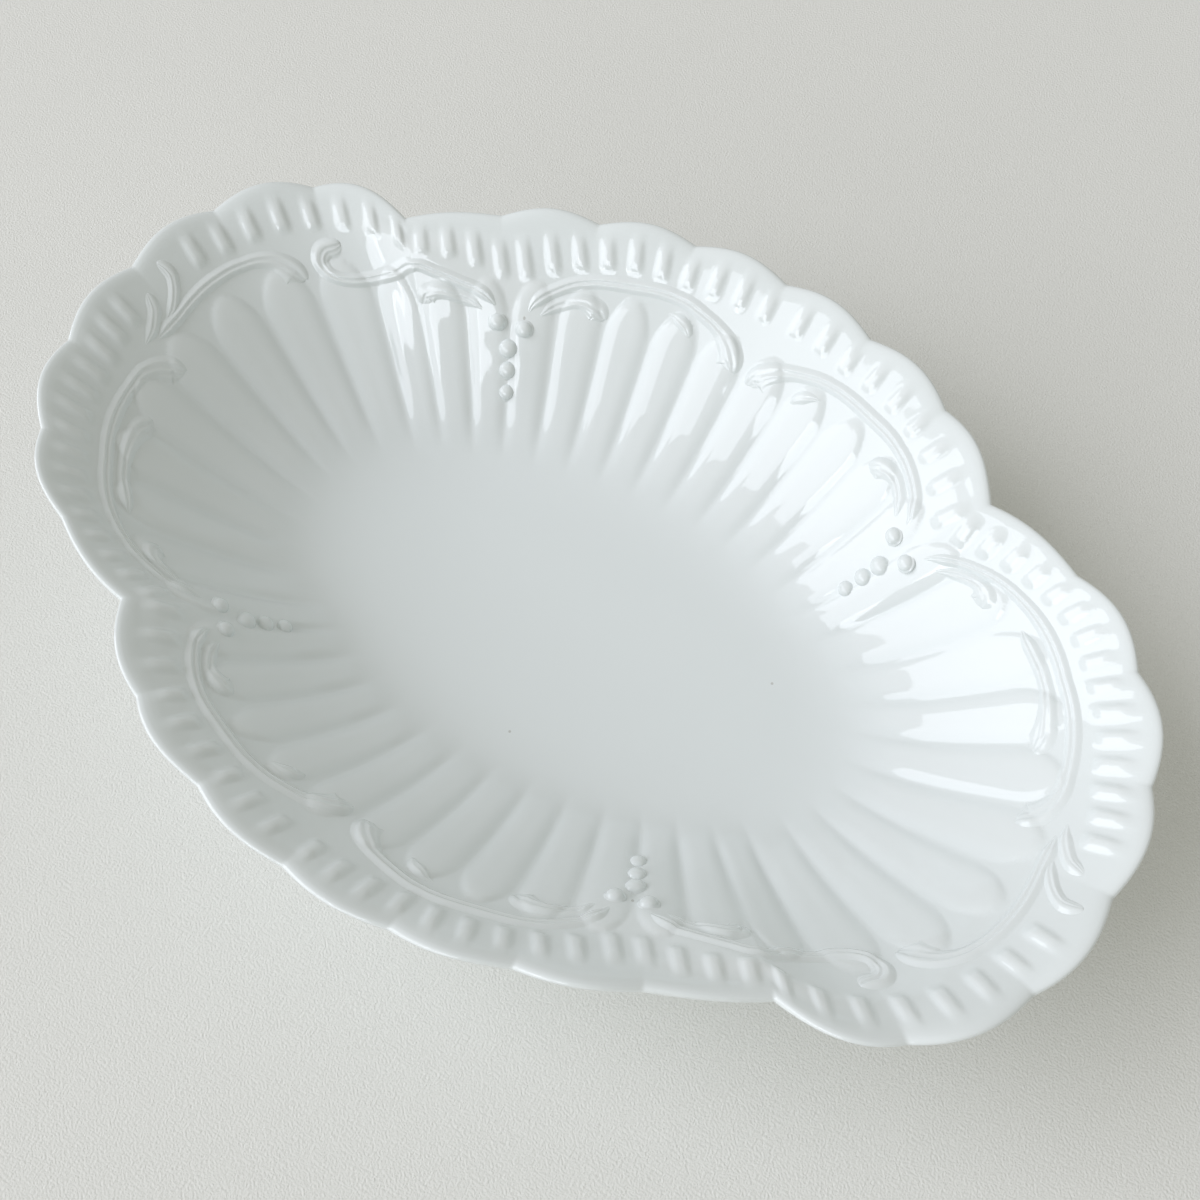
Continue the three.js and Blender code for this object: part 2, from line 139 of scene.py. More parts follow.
@dataclass(frozen=True)
class DishForm:
    """Outline, scallops, profile and thickness as in the solids, and where the lobes and folds lie."""

    end: PlanCurve = PlanCurve((-71.0, -53.2), (-144.0, -43.0), (-130.0, 60.0), (-77.0, 57.0))
    side: PlanCurve = PlanCurve((-77.0, 57.0), (-31.0, 87.0), (33.0, 92.5), (71.0, 53.2))
    scallops_per_curve: int = 7
    scallop_bulge: float = 1.2
    scallop_rise: float = 2.0
    scallop_steepness: int = 9
    first_scallop_share: float = 0.3
    rim_reach: tuple[Place, ...] = (
        (0.0, 0.0), (1.0, -1.1), (3.0, 0.3), (4.0, 0.1), (5.0, 1.2), (6.0, 1.7), (7.0, 0.0), (8.0, -0.8),
        (9.0, -0.4), (10.0, 0.5), (12.0, 0.2), (13.0, 1.3), (14.0, 0.0))
    rim_rise: float = 0.7
    rim_lift: float = 0.8
    notch_dip: float = 3.2
    bowl_depth: float = 38.5
    late_share: float = 0.4
    floor_blend: float = 0.15
    floor_half_length: float = 60.0
    floor_half_width: float = 28.0
    floor_start_angle: float = 228.5
    floor_thickness: float = 4.6
    lip_thickness: float = 3.2
    foot_height: float = 5.0
    end_beads_at: float = -0.09
    side_beads_at: float = 8.13
    fold_width: float = 1.7
    fold_round: float = 0.08
    fold_slant: Place = (0.64, 0.95)
    end_fold_share: float = 0.3
    end_valleys: tuple[float, ...] = (0.52, 1.26, 1.97, 2.66, 3.4, 4.17, 4.9, 5.64, 6.39, 7.0, 7.58)
    lobes_on_side: int = 10

    @property
    def half_turn(self) -> int:
        """Scallops in half of the rim."""
        return 2 * self.scallops_per_curve

    @property
    def scallops(self) -> int:
        """Scallops in the whole rim."""
        return 2 * self.half_turn

    @property
    def floor_level(self) -> float:
        """Height of the bowl's floor over the table."""
        return self.foot_height + self.floor_thickness

    def cusp_line(self, n: np.ndarray) -> tuple[np.ndarray, np.ndarray, np.ndarray]:
        """Line through the cusps between the scallops.

        Args:
            n: scallop numbers.

        Returns:
            Plan points, outward directions, and shares of the way along each curve.
        """
        half, in_half = np.divmod(np.mod(n, self.scallops), self.half_turn)
        share = np.mod(in_half, self.scallops_per_curve) / self.scallops_per_curve
        on_end = (in_half < self.scallops_per_curve)[..., None]
        point, along = (np.where(on_end, e, s) for e, s in zip(self.end.at(share), self.side.at(share)))
        turn = (1.0 - 2.0 * half)[..., None]
        outward = np.stack([-along[..., 1], along[..., 0]], -1)
        return point * turn, outward * turn, share

    def scallop_swell(self, n: np.ndarray) -> np.ndarray:
        """How far a scallop swells between its cusps; the first one after a notch is nearly flat."""
        is_first = np.floor(np.mod(n, self.scallops_per_curve)) == 0
        return np.abs(np.sin(np.pi * n)) * np.where(is_first, self.first_scallop_share, 1.0)

    def reach(self, n: np.ndarray) -> np.ndarray:
        """How far the rim leans out past the plan curves.

        Args:
            n: scallop numbers.

        Returns:
            Distances, eased from each knot of rim_reach to the next.
        """
        at, out = np.array(self.rim_reach).T
        in_half = np.mod(n, self.half_turn)
        last = np.clip(np.searchsorted(at, in_half, side="right"), 1, len(at) - 1)
        share = smoothstep(in_half, at[last - 1], at[last])
        return out[last - 1] + (out[last] - out[last - 1]) * share

    def profile(self, t: np.ndarray) -> tuple[np.ndarray, np.ndarray]:
        """Profile of the wall: a blend of an early rise, eased into the floor, and a late one.

        Args:
            t: shares of the way up the wall, a little under 0 where the floor begins to rise.

        Returns:
            Shares of the bowl's depth, and how fast they grow with t.
        """
        up, blend = np.maximum(t, 0.0), self.floor_blend
        eased = np.clip(t + blend, 0.0, 2.0 * blend)
        early = np.where(t < blend, eased**3 / (3.0 * blend) - 2.0 * blend**2 / 3.0, 2.0 * t**2) - up**3
        early_rate = np.where(t < blend, eased**2 / blend, 4.0 * t) - 3.0 * up**2
        late, late_rate = 3.0 * up**3 - 2.0 * up**4, 9.0 * up**2 - 8.0 * up**3
        share = self.late_share
        return early + (late - early) * share, early_rate + (late_rate - early_rate) * share

    def floor_edge(self, n: np.ndarray) -> np.ndarray:
        """Plan points of the edge of the flat floor."""
        angle = np.radians(self.floor_start_angle - n * 360.0 / self.scallops)
        return np.stack([self.floor_half_length * np.cos(angle), self.floor_half_width * np.sin(angle)], -1)

    def wall(self, n: np.ndarray, t: np.ndarray) -> tuple[np.ndarray, np.ndarray]:
        """Smooth inside of the wall.

        Args:
            n: scallop numbers.
            t: shares of the way up the wall.

        Returns:
            Points, and unit directions into the bowl, square to the wall.
        """
        n, t = np.broadcast_arrays(np.asarray(n, float), np.asarray(t, float))
        rim, outward, share = self.cusp_line(n)
        floor = self.floor_edge(n)
        run = rim - floor
        up = np.maximum(t, 0.0)
        edge = up**self.scallop_steepness
        swell = self.scallop_swell(n)
        out = (self.scallop_bulge * swell + self.reach(n)) * edge
        plan = floor + run * t[..., None] + outward * out[..., None]
        dip = (1.0 - np.sin(np.pi * share)) ** 2
        rise = self.rim_rise - self.notch_dip * dip
        wave = rise * up**3 + (self.scallop_rise * swell + self.rim_lift) * edge
        climbed, rate = self.profile(t)
        height = self.floor_level + self.bowl_depth * climbed + wave
        length = np.linalg.norm(run, axis=-1)
        slope = self.bowl_depth * rate / length
        inward = np.concatenate([-run * (slope / length)[..., None], np.ones(n.shape + (1,))], -1)
        return np.concatenate([plan, height[..., None]], -1), unit(inward)

    def thickness(self, t: np.ndarray) -> np.ndarray:
        """Thickness of the wall, from the floor's to the lip's."""
        return self.floor_thickness + (self.lip_thickness - self.floor_thickness) * np.asarray(t, float)

    def scale(self, n: float, t: float, step: float = 0.01) -> np.ndarray:
        """Millimetres on the wall for one unit of n and for one unit of t, near a place."""
        here, beside, above = (self.wall(a, b)[0] for a, b in ((n, t), (n + step, t), (n, t + step)))
        return np.array([np.linalg.norm(beside - here), np.linalg.norm(above - here)]) / step

    def beside(self, n: np.ndarray, line: np.ndarray | float) -> np.ndarray:
        """Scallops from a line to n, the short way round the half that repeats."""
        return np.mod(n - line + self.half_turn / 2, self.half_turn) - self.half_turn / 2

    def fold(self, n: np.ndarray, t: np.ndarray) -> np.ndarray:
        """Soft fold that runs from each notch of the rim down to a column of beads.

        Args:
            n: scallop numbers.
            t: shares of the way up the wall.

        Returns:
            Shares of the fold's height: 1 on the fold between end and side, 0 clear of every fold.
        """
        lean = (self.side_beads_at - self.scallops_per_curve) * smoothstep(t, *self.fold_slant)
        shares = []
        for line, share in ((self.side_beads_at - lean, 1.0), (self.end_beads_at, self.end_fold_share)):
            near = 1.0 - np.sqrt(self.beside(n, line) ** 2 + self.fold_round**2) / self.fold_width
            shares.append(share * np.clip(near, 0.0, 1.0) ** 2)
        return np.maximum(*shares)

    def lobe_phase(self, n: np.ndarray) -> np.ndarray:
        """Numbers of the lobes, counted from the last column of beads.

        Args:
            n: scallop numbers.

        Returns:
            Lobe numbers; a whole number is a valley between two lobes.
        """
        in_half = np.mod(n - self.end_beads_at, self.half_turn) + self.end_beads_at
        valleys = (self.end_beads_at, *self.end_valleys, self.side_beads_at)
        on_end = np.interp(in_half, valleys, np.arange(len(valleys)))
        on_side = (in_half - self.side_beads_at) / (self.half_turn + self.end_beads_at - self.side_beads_at)
        return np.where(in_half < self.side_beads_at, on_end, on_side * self.lobes_on_side)

    def relief_values(self, n: np.ndarray, t: np.ndarray) -> dict[str, np.ndarray]:
        """Values that the relief trees read at each point of the wall."""
        return {"phase": self.lobe_phase(n), "fold": self.fold(n, t), "climb": t}


class MeshDraft:
    """Points, faces and per-point values of a mesh under construction, in millimetres."""

    def __init__(self) -> None:
        """Starts empty."""
        self.points: list[np.ndarray] = []
        self.values: dict[str, list[np.ndarray]] = {}
        self.faces: list[list[int]] = []
        self.count = 0

    def add(self, points: np.ndarray, **values: np.ndarray) -> np.ndarray:
        """Adds points.

        Args:
            points: their places.
            values: their values by name, the same names in every call.

        Returns:
            The points' numbers.
        """
        points = np.atleast_2d(points)
        self.points.append(points)
        for name, value in values.items():
            self.values.setdefault(name, []).append(np.asarray(value, float))
        self.count += len(points)
        return np.arange(self.count - len(points), self.count)

    def band(self, first: np.ndarray, last: np.ndarray) -> None:
        """Joins two closed rings of equal size, or a ring and one with half or twice its points.

        Args:
            first: point numbers of one ring.
            last: point numbers of the ring after it.
        """
        if len(first) == len(last):
            self.faces += np.stack([first, np.roll(first, -1), np.roll(last, -1), last], 1).tolist()
            return
        narrows = len(first) > len(last)
        few, many = (last, first) if narrows else (first, last)
        beside, even, odd, after = np.roll(few, -1), many[::2], many[1::2], np.roll(many, -2)[::2]
        for corners in ((few, odd, even), (few, beside, odd), (beside, after, odd)):
            self.faces += np.stack(corners[::-1] if narrows else corners, 1).tolist()

    def skin(self, rings: list[np.ndarray], first_end: int | None = None,
             last_end: int | None = None) -> None:
        """Joins rings in order, and closes the ends that have a middle point with triangles.

        Args:
            rings: the rings' point numbers.
            first_end: number of the middle point before the first ring.
            last_end: number of the middle point after the last ring.
        """
        for first, last in zip(rings, rings[1:]):
            self.band(first, last)
        for ring, middle in ((rings[0][::-1], first_end), (rings[-1], last_end)):
            if middle is not None:
                self.faces += np.stack([ring, np.roll(ring, -1), np.full(len(ring), middle)], 1).tolist()

    def build(self, name: str) -> Object:
        """Makes the object, its faces turned outwards.

        Args:
            name: the object's name.

        Returns:
            The object, linked to the scene, with the values as attributes.
        """
        mesh = bpy.data.meshes.new(name)
        mesh.from_pydata((np.concatenate(self.points) * MM).tolist(), [], self.faces)
        for key, parts in self.values.items():
            value = np.concatenate(parts)
            is_vector = value.ndim == 2
            attribute = mesh.attributes.new(key, "FLOAT_VECTOR" if is_vector else "FLOAT", "POINT")
            attribute.data.foreach_set("vector" if is_vector else "value", value.ravel())
        obj = bpy.data.objects.new(name, mesh)
        bpy.context.scene.collection.objects.link(obj)
        face_outwards(mesh)
        return obj


def face_outwards(mesh: Mesh) -> None:
    """Turns a closed mesh's faces outwards, by the sign of its volume.

    Args:
        mesh: the mesh.
    """
    mesh.calc_loop_triangles()
    corners = np.empty(len(mesh.loop_triangles) * 3, np.int32)
    mesh.loop_triangles.foreach_get("vertices", corners)
    points = np.empty(len(mesh.vertices) * 3, np.float32)
    mesh.vertices.foreach_get("co", points)
    a, b, c = np.moveaxis(points.reshape(-1, 3).astype(float)[corners.reshape(-1, 3)], 1, 0)
    if np.einsum("ij,ij->", a, np.cross(b, c)) < 0:
        mesh.flip_normals()


class TreeDraft:
    """A node tree under construction, for geometry or for shading."""

    def __init__(self, tree: NodeTree) -> None:
        """Starts on an empty tree."""
        self.tree = tree
        self.inputs: Node | None = None

    def takes(self, name: str, kind: str, default: object = None) -> None:
        """Adds an input to the tree's interface.

        Args:
            name: the input's name.
            kind: its socket type.
            default: its value where nothing else is set.
        """
        socket = self.tree.interface.new_socket(name, in_out="INPUT", socket_type=kind)
        if default is not None:
            socket.default_value = default

    def takes_numbers(self, **defaults: float) -> None:
        """Adds inputs for numbers with their defaults, by name with _ for a space."""
        for name, default in defaults.items():
            self.takes(name.replace("_", " "), "NodeSocketFloat", default)

    def gives(self, name: str, kind: str) -> None:
        """Adds an output to the tree's interface."""
        self.tree.interface.new_socket(name, in_out="OUTPUT", socket_type=kind)

    def given(self, name: str) -> NodeSocket:
        """Finds one of the tree's inputs.

        Args:
            name: the input's name.

        Returns:
            The socket that gives its value inside the tree.
        """
        if self.inputs is None:
            self.inputs = self.tree.nodes.new("NodeGroupInput")
        return self.inputs.outputs[name]

    def node(self, kind: str, settings: dict[str, object] | None = None, **feeds: object) -> Node:
        """Adds a node.

        Args:
            kind: the node's type.
            settings: the node's own properties.
            feeds: values or sockets for its inputs, by name with _ for a space.

        Returns:
            The node.
        """
        node = self.tree.nodes.new(kind)
        for key, value in (settings or {}).items():
            setattr(node, key, value)
        self.feed_all(node, **feeds)
        return node

    def feed_all(self, node: Node, **feeds: object) -> None:
        """Feeds inputs of a node with values or sockets, by name with _ for a space."""
        for key, value in feeds.items():
            self.feed(node.inputs[key.replace("_", " ")], value)

    def feed(self, socket: NodeSocket, value: object) -> None:
        """Links an input to a socket, or sets the input's own value.

        Args:
            socket: the input.
            value: the value, or the socket to link.
        """
        if isinstance(value, NodeSocket):
            self.tree.links.new(value, socket)
        else:
            socket.default_value = value

    def end(self, **feeds: object) -> NodeTree:
        """Adds the output node, with sockets for its inputs by name, and returns the finished tree."""
        self.node("NodeGroupOutput", **feeds)
        return self.tree

    def math(self, operation: str, *values: object) -> NodeSocket:
        """Adds a Math node.

        Args:
            operation: what it does.
            values: values or sockets for its inputs, in order.

        Returns:
            Its result.
        """
        node = self.node("ShaderNodeMath", {"operation": operation})
        for socket, value in zip(node.inputs, values):
            self.feed(socket, value)
        return node.outputs[0]

    def step(self, value: object, low: object, high: object, kind: str = "SMOOTHSTEP") -> NodeSocket:
        """Adds a step of a value from 0 to 1.

        Args:
            value: the value.
            low: where the step is 0.
            high: where the step is 1.
            kind: SMOOTHSTEP or LINEAR.

        Returns:
            The step.
        """
        return self.node("ShaderNodeMapRange", {"interpolation_type": kind}, Value=value, From_Min=low,
                         From_Max=high).outputs[0]

    def blend(self, share: object, first: object, second: object) -> NodeSocket:
        """Adds a mix of two colours.

        Args:
            share: the second colour's share.
            first: the first colour.
            second: the second colour.

        Returns:
            The mixed colour.
        """
        node = self.node("ShaderNodeMix", {"data_type": "RGBA"})
        # A Mix node has sockets for every data type: inputs 6 and 7 and output 2 are the colours.
        for index, value in ((0, share), (6, first), (7, second)):
            self.feed(node.inputs[index], value)
        return node.outputs[2]

    def value_of(self, name: str, kind: str = "FLOAT") -> NodeSocket:
        """Values of a named attribute of the geometry."""
        return self.node("GeometryNodeInputNamedAttribute", {"data_type": kind}, Name=name).outputs[0]


def rgba(colour: Colour) -> tuple[float, float, float, float]:
    """Colour with full alpha."""
    return (*colour, 1.0)


def start_material(name: str) -> tuple[Material, TreeDraft, Node]:
    """Starts a material.

    Args:
        name: the material's name.

    Returns:
        The material, the draft of its node tree, and its shader.
    """
    material = bpy.data.materials.new(name)
    material.use_nodes = True
    return material, TreeDraft(material.node_tree), material.node_tree.nodes["Principled BSDF"]


@dataclass(frozen=True)
class LobeSizes:
    """Relief of the lobes and folds: how high they stand, and where up the wall they start and end."""

    height: float = 0.8
    start: float = 0.12
    full: float = 0.38
    fade: float = 0.64
    end: float = 0.795
    end_roundness: float = 4.0
    valley: float = 0.16
    flatness: float = 1.6
    fold_height: float = 1.7
    fold_start: float = 0.25
    fold_full: float = 0.6
    fold_fade: float = 0.88
    fold_end: float = 0.95


class ReliefTrees:
    """Geometry Nodes trees that raise the relief off the smooth wall."""

    def __init__(self, lobes: LobeSizes) -> None:
        """Builds the trees.

        Args:
            lobes: sizes of the lobes, which every tree follows.
        """
        self.lobes = lobes
        self.lobe_group = self.make_lobe_group()
        self.wall = self.make_wall_tree()
        self.rib = self.make_rib_tree()
        self.beads = self.make_bead_tree()

    def make_lobe_group(self) -> NodeTree:
        """Group that gives the height of the lobes and folds from the points' phase, fold and climb.

        Returns:
            The group, which the three trees share.
        """
        draft = TreeDraft(bpy.data.node_groups.new("lobe_height", "GeometryNodeTree"))
        for size in fields(self.lobes):
            in_metres = MM if size.name.endswith("height") else 1.0
            draft.takes_numbers(**{size.name.title(): getattr(self.lobes, size.name) * in_metres})
        draft.gives("Height", "NodeSocketFloat")
        climb = draft.value_of("climb")
        swing = draft.math("SINE", draft.math("MULTIPLY", draft.value_of("phase"), math.pi))
        valley = draft.given("Valley")
        square = draft.math("MULTIPLY", valley, valley)
        end = draft.step(climb, draft.given("Fade"), draft.given("End"), "LINEAR")
        closing = draft.math("POWER", end, draft.given("End Roundness"))
        dome = draft.math("SUBTRACT", draft.math("MULTIPLY", swing, swing), closing)
        rounded = draft.math("SQRT", draft.math("ADD", draft.math("MAXIMUM", dome, 0.0), square))
        below, range_below = (draft.math("SUBTRACT", 1.0, height) for height in (rounded, valley))
        shoulder = draft.math("MAXIMUM", draft.math("DIVIDE", below, range_below), 0.0)
        gap = draft.math("POWER", shoulder, draft.given("Flatness"))
        crown = draft.math("SUBTRACT", 1.0, gap)
        rise = draft.step(climb, draft.given("Start"), draft.given("Full"))
        lobe = draft.math("MULTIPLY", draft.math("MULTIPLY", crown, rise), draft.given("Height"))
        onset = draft.step(climb, draft.given("Fold Start"), draft.given("Fold Full"))
        faded = draft.step(climb, draft.given("Fold Fade"), draft.given("Fold End"))
        bounds = draft.math("MULTIPLY", onset, draft.math("SUBTRACT", 1.0, faded))
        fold_share = draft.math("MULTIPLY", draft.value_of("fold"), bounds)
        return draft.end(Height=draft.math("MULTIPLY_ADD", fold_share, draft.given("Fold Height"), lobe))

    @staticmethod
    def start_tree(name: str, *sizes: str) -> TreeDraft:
        """Starts a tree that takes and gives geometry.

        Args:
            name: the tree's name.
            sizes: names of its inputs for numbers.

        Returns:
            The draft of the tree.
        """
        draft = TreeDraft(bpy.data.node_groups.new(name, "GeometryNodeTree"))
        draft.takes("Geometry", "NodeSocketGeometry")
        for size in sizes:
            draft.takes(size, "NodeSocketFloat")
        draft.takes("Material", "NodeSocketMaterial")
        draft.gives("Geometry", "NodeSocketGeometry")
        return draft

    def lobe_height(self, draft: TreeDraft) -> NodeSocket:
        """Places the lobe group in a tree and returns its height."""
        return draft.node("GeometryNodeGroup", {"node_tree": self.lobe_group}).outputs["Height"]

    @staticmethod
    def raise_points(draft: TreeDraft, height: NodeSocket) -> NodeSocket:
        """Moves the points into the bowl, square to the wall.

        Args:
            draft: the tree's draft.
            height: how far they move.

        Returns:
            The geometry.
        """
        offset = draft.node("ShaderNodeVectorMath", {"operation": "SCALE"}, Scale=height)
        draft.feed(offset.inputs[0], draft.value_of("inward", "FLOAT_VECTOR"))
        moved = draft.node("GeometryNodeSetPosition", Geometry=draft.given("Geometry"),
                           Offset=offset.outputs[0])
        return moved.outputs[0]

    @staticmethod
    def finish_tree(draft: TreeDraft, geometry: NodeSocket) -> NodeTree:
        """Ends a tree with Realize Instances and Set Material.

        Args:
            draft: the tree's draft.
            geometry: the geometry to end with.

        Returns:
            The finished tree.
        """
        real = draft.node("GeometryNodeRealizeInstances", Geometry=geometry)
        dressed = draft.node("GeometryNodeSetMaterial", Geometry=real.outputs[0],
                             Material=draft.given("Material"))
        return draft.end(Geometry=dressed.outputs[0])

    @staticmethod
    def keep_relief(draft: TreeDraft, geometry: object, relief: object) -> NodeSocket:
        """Keeps the relief's share of height as an attribute, from which the glaze paints light on the
        crests, and returns the geometry.
        """
        return draft.node("GeometryNodeStoreNamedAttribute", {"data_type": "FLOAT", "domain": "POINT"},
                          Geometry=geometry, Name="relief", Value=relief).outputs[0]

    def make_wall_tree(self) -> NodeTree:
        """Tree that raises the lobes of the wall and the reeds of the rim band.

        Returns:
            The tree.
        """
        draft = self.start_tree("lobed_wall", "Reed Height", "Reed Top", "Reed Foot", "Reed Tip")
        across = draft.value_of("reed_across")
        along = draft.value_of("reed_along")
        side = draft.step(draft.math("ABSOLUTE", across), draft.given("Reed Top"), 1.0)
        foot = draft.step(along, 0.0, draft.given("Reed Foot"))
        tip = draft.math("SUBTRACT", 1.0, draft.step(along, draft.given("Reed Tip"), 1.0))
        ends = draft.math("MULTIPLY", foot, tip)
        reed = draft.math("MULTIPLY", draft.math("SUBTRACT", 1.0, side), ends)
        lobe = self.lobe_height(draft)
        height = draft.math("MULTIPLY_ADD", reed, draft.given("Reed Height"), lobe)
        relief = draft.math("MAXIMUM", reed, draft.math("DIVIDE", lobe, self.lobes.height * MM))
        kept = self.keep_relief(draft, self.raise_points(draft, height), relief)
        return self.finish_tree(draft, kept)

    def make_rib_tree(self) -> NodeTree:
        """Tree that raises a strip on the wall into a rib with shallow grooves along its back.

        Returns:
            The tree.
        """
        draft = self.start_tree("raised_rib", "Rib Height", "Groove")
        across = draft.value_of("across")
        square = draft.math("MULTIPLY", across, across)
        crown = draft.math("MAXIMUM", draft.math("SUBTRACT", 1.0, square), 0.0)
        rounded = draft.math("POWER", crown, draft.value_of("softness"))
        cut = draft.math("MULTIPLY", draft.value_of("cut"), draft.given("Groove"))
        profile = draft.math("MULTIPLY", rounded, draft.math("SUBTRACT", 1.0, cut))
        shape = draft.math("MULTIPLY", profile, draft.value_of("fullness"))
        seat = draft.math("ADD", self.lobe_height(draft), draft.value_of("seat"))
        height = draft.math("MULTIPLY_ADD", shape, draft.given("Rib Height"), seat)
        kept = self.keep_relief(draft, self.raise_points(draft, height), shape)
        return self.finish_tree(draft, kept)

    def make_bead_tree(self) -> NodeTree:
        """Tree that sets a bead on each point of the wall, standing square to it.

        Returns:
            The tree.
        """
        draft = self.start_tree("bead_drops")
        draft.takes("Pattern", "NodeSocketObject")
        points = self.raise_points(draft, self.lobe_height(draft))
        pattern = draft.node("GeometryNodeObjectInfo", Object=draft.given("Pattern"))
        turned = draft.node("FunctionNodeAlignRotationToVector", {"axis": "Z"},
                            Vector=draft.value_of("inward", "FLOAT_VECTOR"))
        placed = draft.node("GeometryNodeInstanceOnPoints", Points=points,
                            Instance=pattern.outputs["Geometry"], Rotation=turned.outputs[0],
                            Scale=draft.value_of("size"))
        return self.finish_tree(draft, placed.outputs[0])


def grow(obj: Object, tree: NodeTree, feeds: dict[str, object]) -> None:
    """Runs a Geometry Nodes tree on an object and keeps the result as its plain mesh, faces outwards.

    Args:
        obj: the object, with the mesh to start from.
        tree: the tree.
        feeds: values of the tree's inputs, by name.
    """
    modifier = obj.modifiers.new(tree.name, "NODES")
    modifier.node_group = tree
    for item in tree.interface.items_tree:
        if item.item_type == "SOCKET" and item.in_out == "INPUT" and item.name in feeds:
            modifier[item.identifier] = feeds[item.name]
    depsgraph = bpy.context.evaluated_depsgraph_get()
    evaluated = obj.evaluated_get(depsgraph)
    made = bpy.data.meshes.new_from_object(evaluated, preserve_all_data_layers=True, depsgraph=depsgraph)
    obj.modifiers.remove(modifier)
    base, obj.data = obj.data, made
    bpy.data.meshes.remove(base)
    made.name = obj.name
    made.shade_smooth()
    face_outwards(made)


def seat(obj: Object, slot: str, nodes: list[str]) -> None:
    """Seats a finished piece on the frame.

    Args:
        obj: the piece.
        slot: the record's material slot of its finish; not used.
        nodes: the CAD nodes that it stands for.
    """
    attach(obj, BODY)
    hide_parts(*nodes)
    obj.data.calc_loop_triangles()
    LOG.info("%s: %d triangles, for %s", obj.name, len(obj.data.loop_triangles), ", ".join(nodes))


class GlazeGroups:
    """Shader node groups that the finishes share."""

    def __init__(self) -> None:
        """Builds the groups."""
        self.tone = self.make_tone()
        self.specks = self.make_specks()
        self.skin = self.make_skin()

    @staticmethod
    def make_tone() -> NodeTree:
        """Group for the glaze's colour: deeper in random clouds where it pools, and whiter on the relief's
        crests as painted light, leaving painted shade in the valleys.

        Returns:
            The group.
        """
        draft = TreeDraft(bpy.data.node_groups.new("glaze_tone", "ShaderNodeTree"))
        for name in ("Clay", "Pool", "Thin"):
            draft.takes(name, "NodeSocketColor")
        draft.takes_numbers(Cloud_Scale=22.0, Cloud_Amount=0.35, Relief_Start=0.25, Relief_Amount=0.5)
        draft.gives("Color", "NodeSocketColor")
        place = draft.node("ShaderNodeTexCoord").outputs["Object"]
        cloud = draft.node("ShaderNodeTexNoise", Vector=place, Scale=draft.given("Cloud Scale"), Detail=3.0)
        drift = draft.math("MULTIPLY", cloud.outputs[0], draft.given("Cloud Amount"))
        base = draft.blend(drift, draft.given("Clay"), draft.given("Pool"))
        # Painted light and shade: the raised share of the relief whitens the colour on crests, so the valleys
        # read darker.
        relief = draft.node("ShaderNodeAttribute", {"attribute_name": "relief"}).outputs["Fac"]
        raised = draft.step(relief, draft.given("Relief Start"), 1.0)
        thin = draft.math("MULTIPLY", raised, draft.given("Relief Amount"))
        return draft.end(Color=draft.blend(thin, base, draft.given("Thin")))

    @staticmethod
    def make_specks() -> NodeTree:
        """Group for the few tiny iron specks in the glaze.

        Returns:
            The group.
        """
        draft = TreeDraft(bpy.data.node_groups.new("iron_specks", "ShaderNodeTree"))
        for name in ("Base", "Speck"):
            draft.takes(name, "NodeSocketColor")
        draft.takes_numbers(Scale=45.0, Radius=0.014, Share=0.12, Strength=0.4)
        draft.gives("Color", "NodeSocketColor")
        place = draft.node("ShaderNodeTexCoord").outputs["Object"]
        cells = draft.node("ShaderNodeTexVoronoi", {"voronoi_dimensions": "2D"}, Vector=place,
                           Scale=draft.given("Scale"))
        dot = draft.math("LESS_THAN", cells.outputs["Distance"], draft.given("Radius"))
        pick = draft.node("ShaderNodeSeparateColor", Color=cells.outputs["Color"]).outputs[0]
        kept = draft.math("MULTIPLY", dot, draft.math("LESS_THAN", pick, draft.given("Share")))
        share = draft.math("MULTIPLY", kept, draft.given("Strength"))
        return draft.end(Color=draft.blend(share, draft.given("Base"), draft.given("Speck")))

    @staticmethod
    def make_skin() -> NodeTree:
        """Group for the glaze's skin: a slow waviness, a fine orange peel and a slightly uneven gloss.

        Returns:
            The group.
        """
        draft = TreeDraft(bpy.data.node_groups.new("glaze_skin", "ShaderNodeTree"))
        draft.takes_numbers(Wave_Scale=95.0, Peel_Scale=420.0, Peel_Share=0.08, Gloss=0.05, Gloss_Range=0.02)
        draft.gives("Height", "NodeSocketFloat")
        draft.gives("Roughness", "NodeSocketFloat")
        place = draft.node("ShaderNodeTexCoord").outputs["Object"]
        wave = draft.node("ShaderNodeTexNoise", Vector=place, Scale=draft.given("Wave Scale"), Detail=2.0)
        peel = draft.node("ShaderNodeTexNoise", Vector=place, Scale=draft.given("Peel Scale"), Detail=1.0)
        height = draft.math("MULTIPLY_ADD", peel.outputs[0], draft.given("Peel Share"), wave.outputs[0])
        gloss = draft.math("MULTIPLY_ADD", wave.outputs[0], draft.given("Gloss Range"), draft.given("Gloss"))
        return draft.end(Height=height, Roughness=gloss)


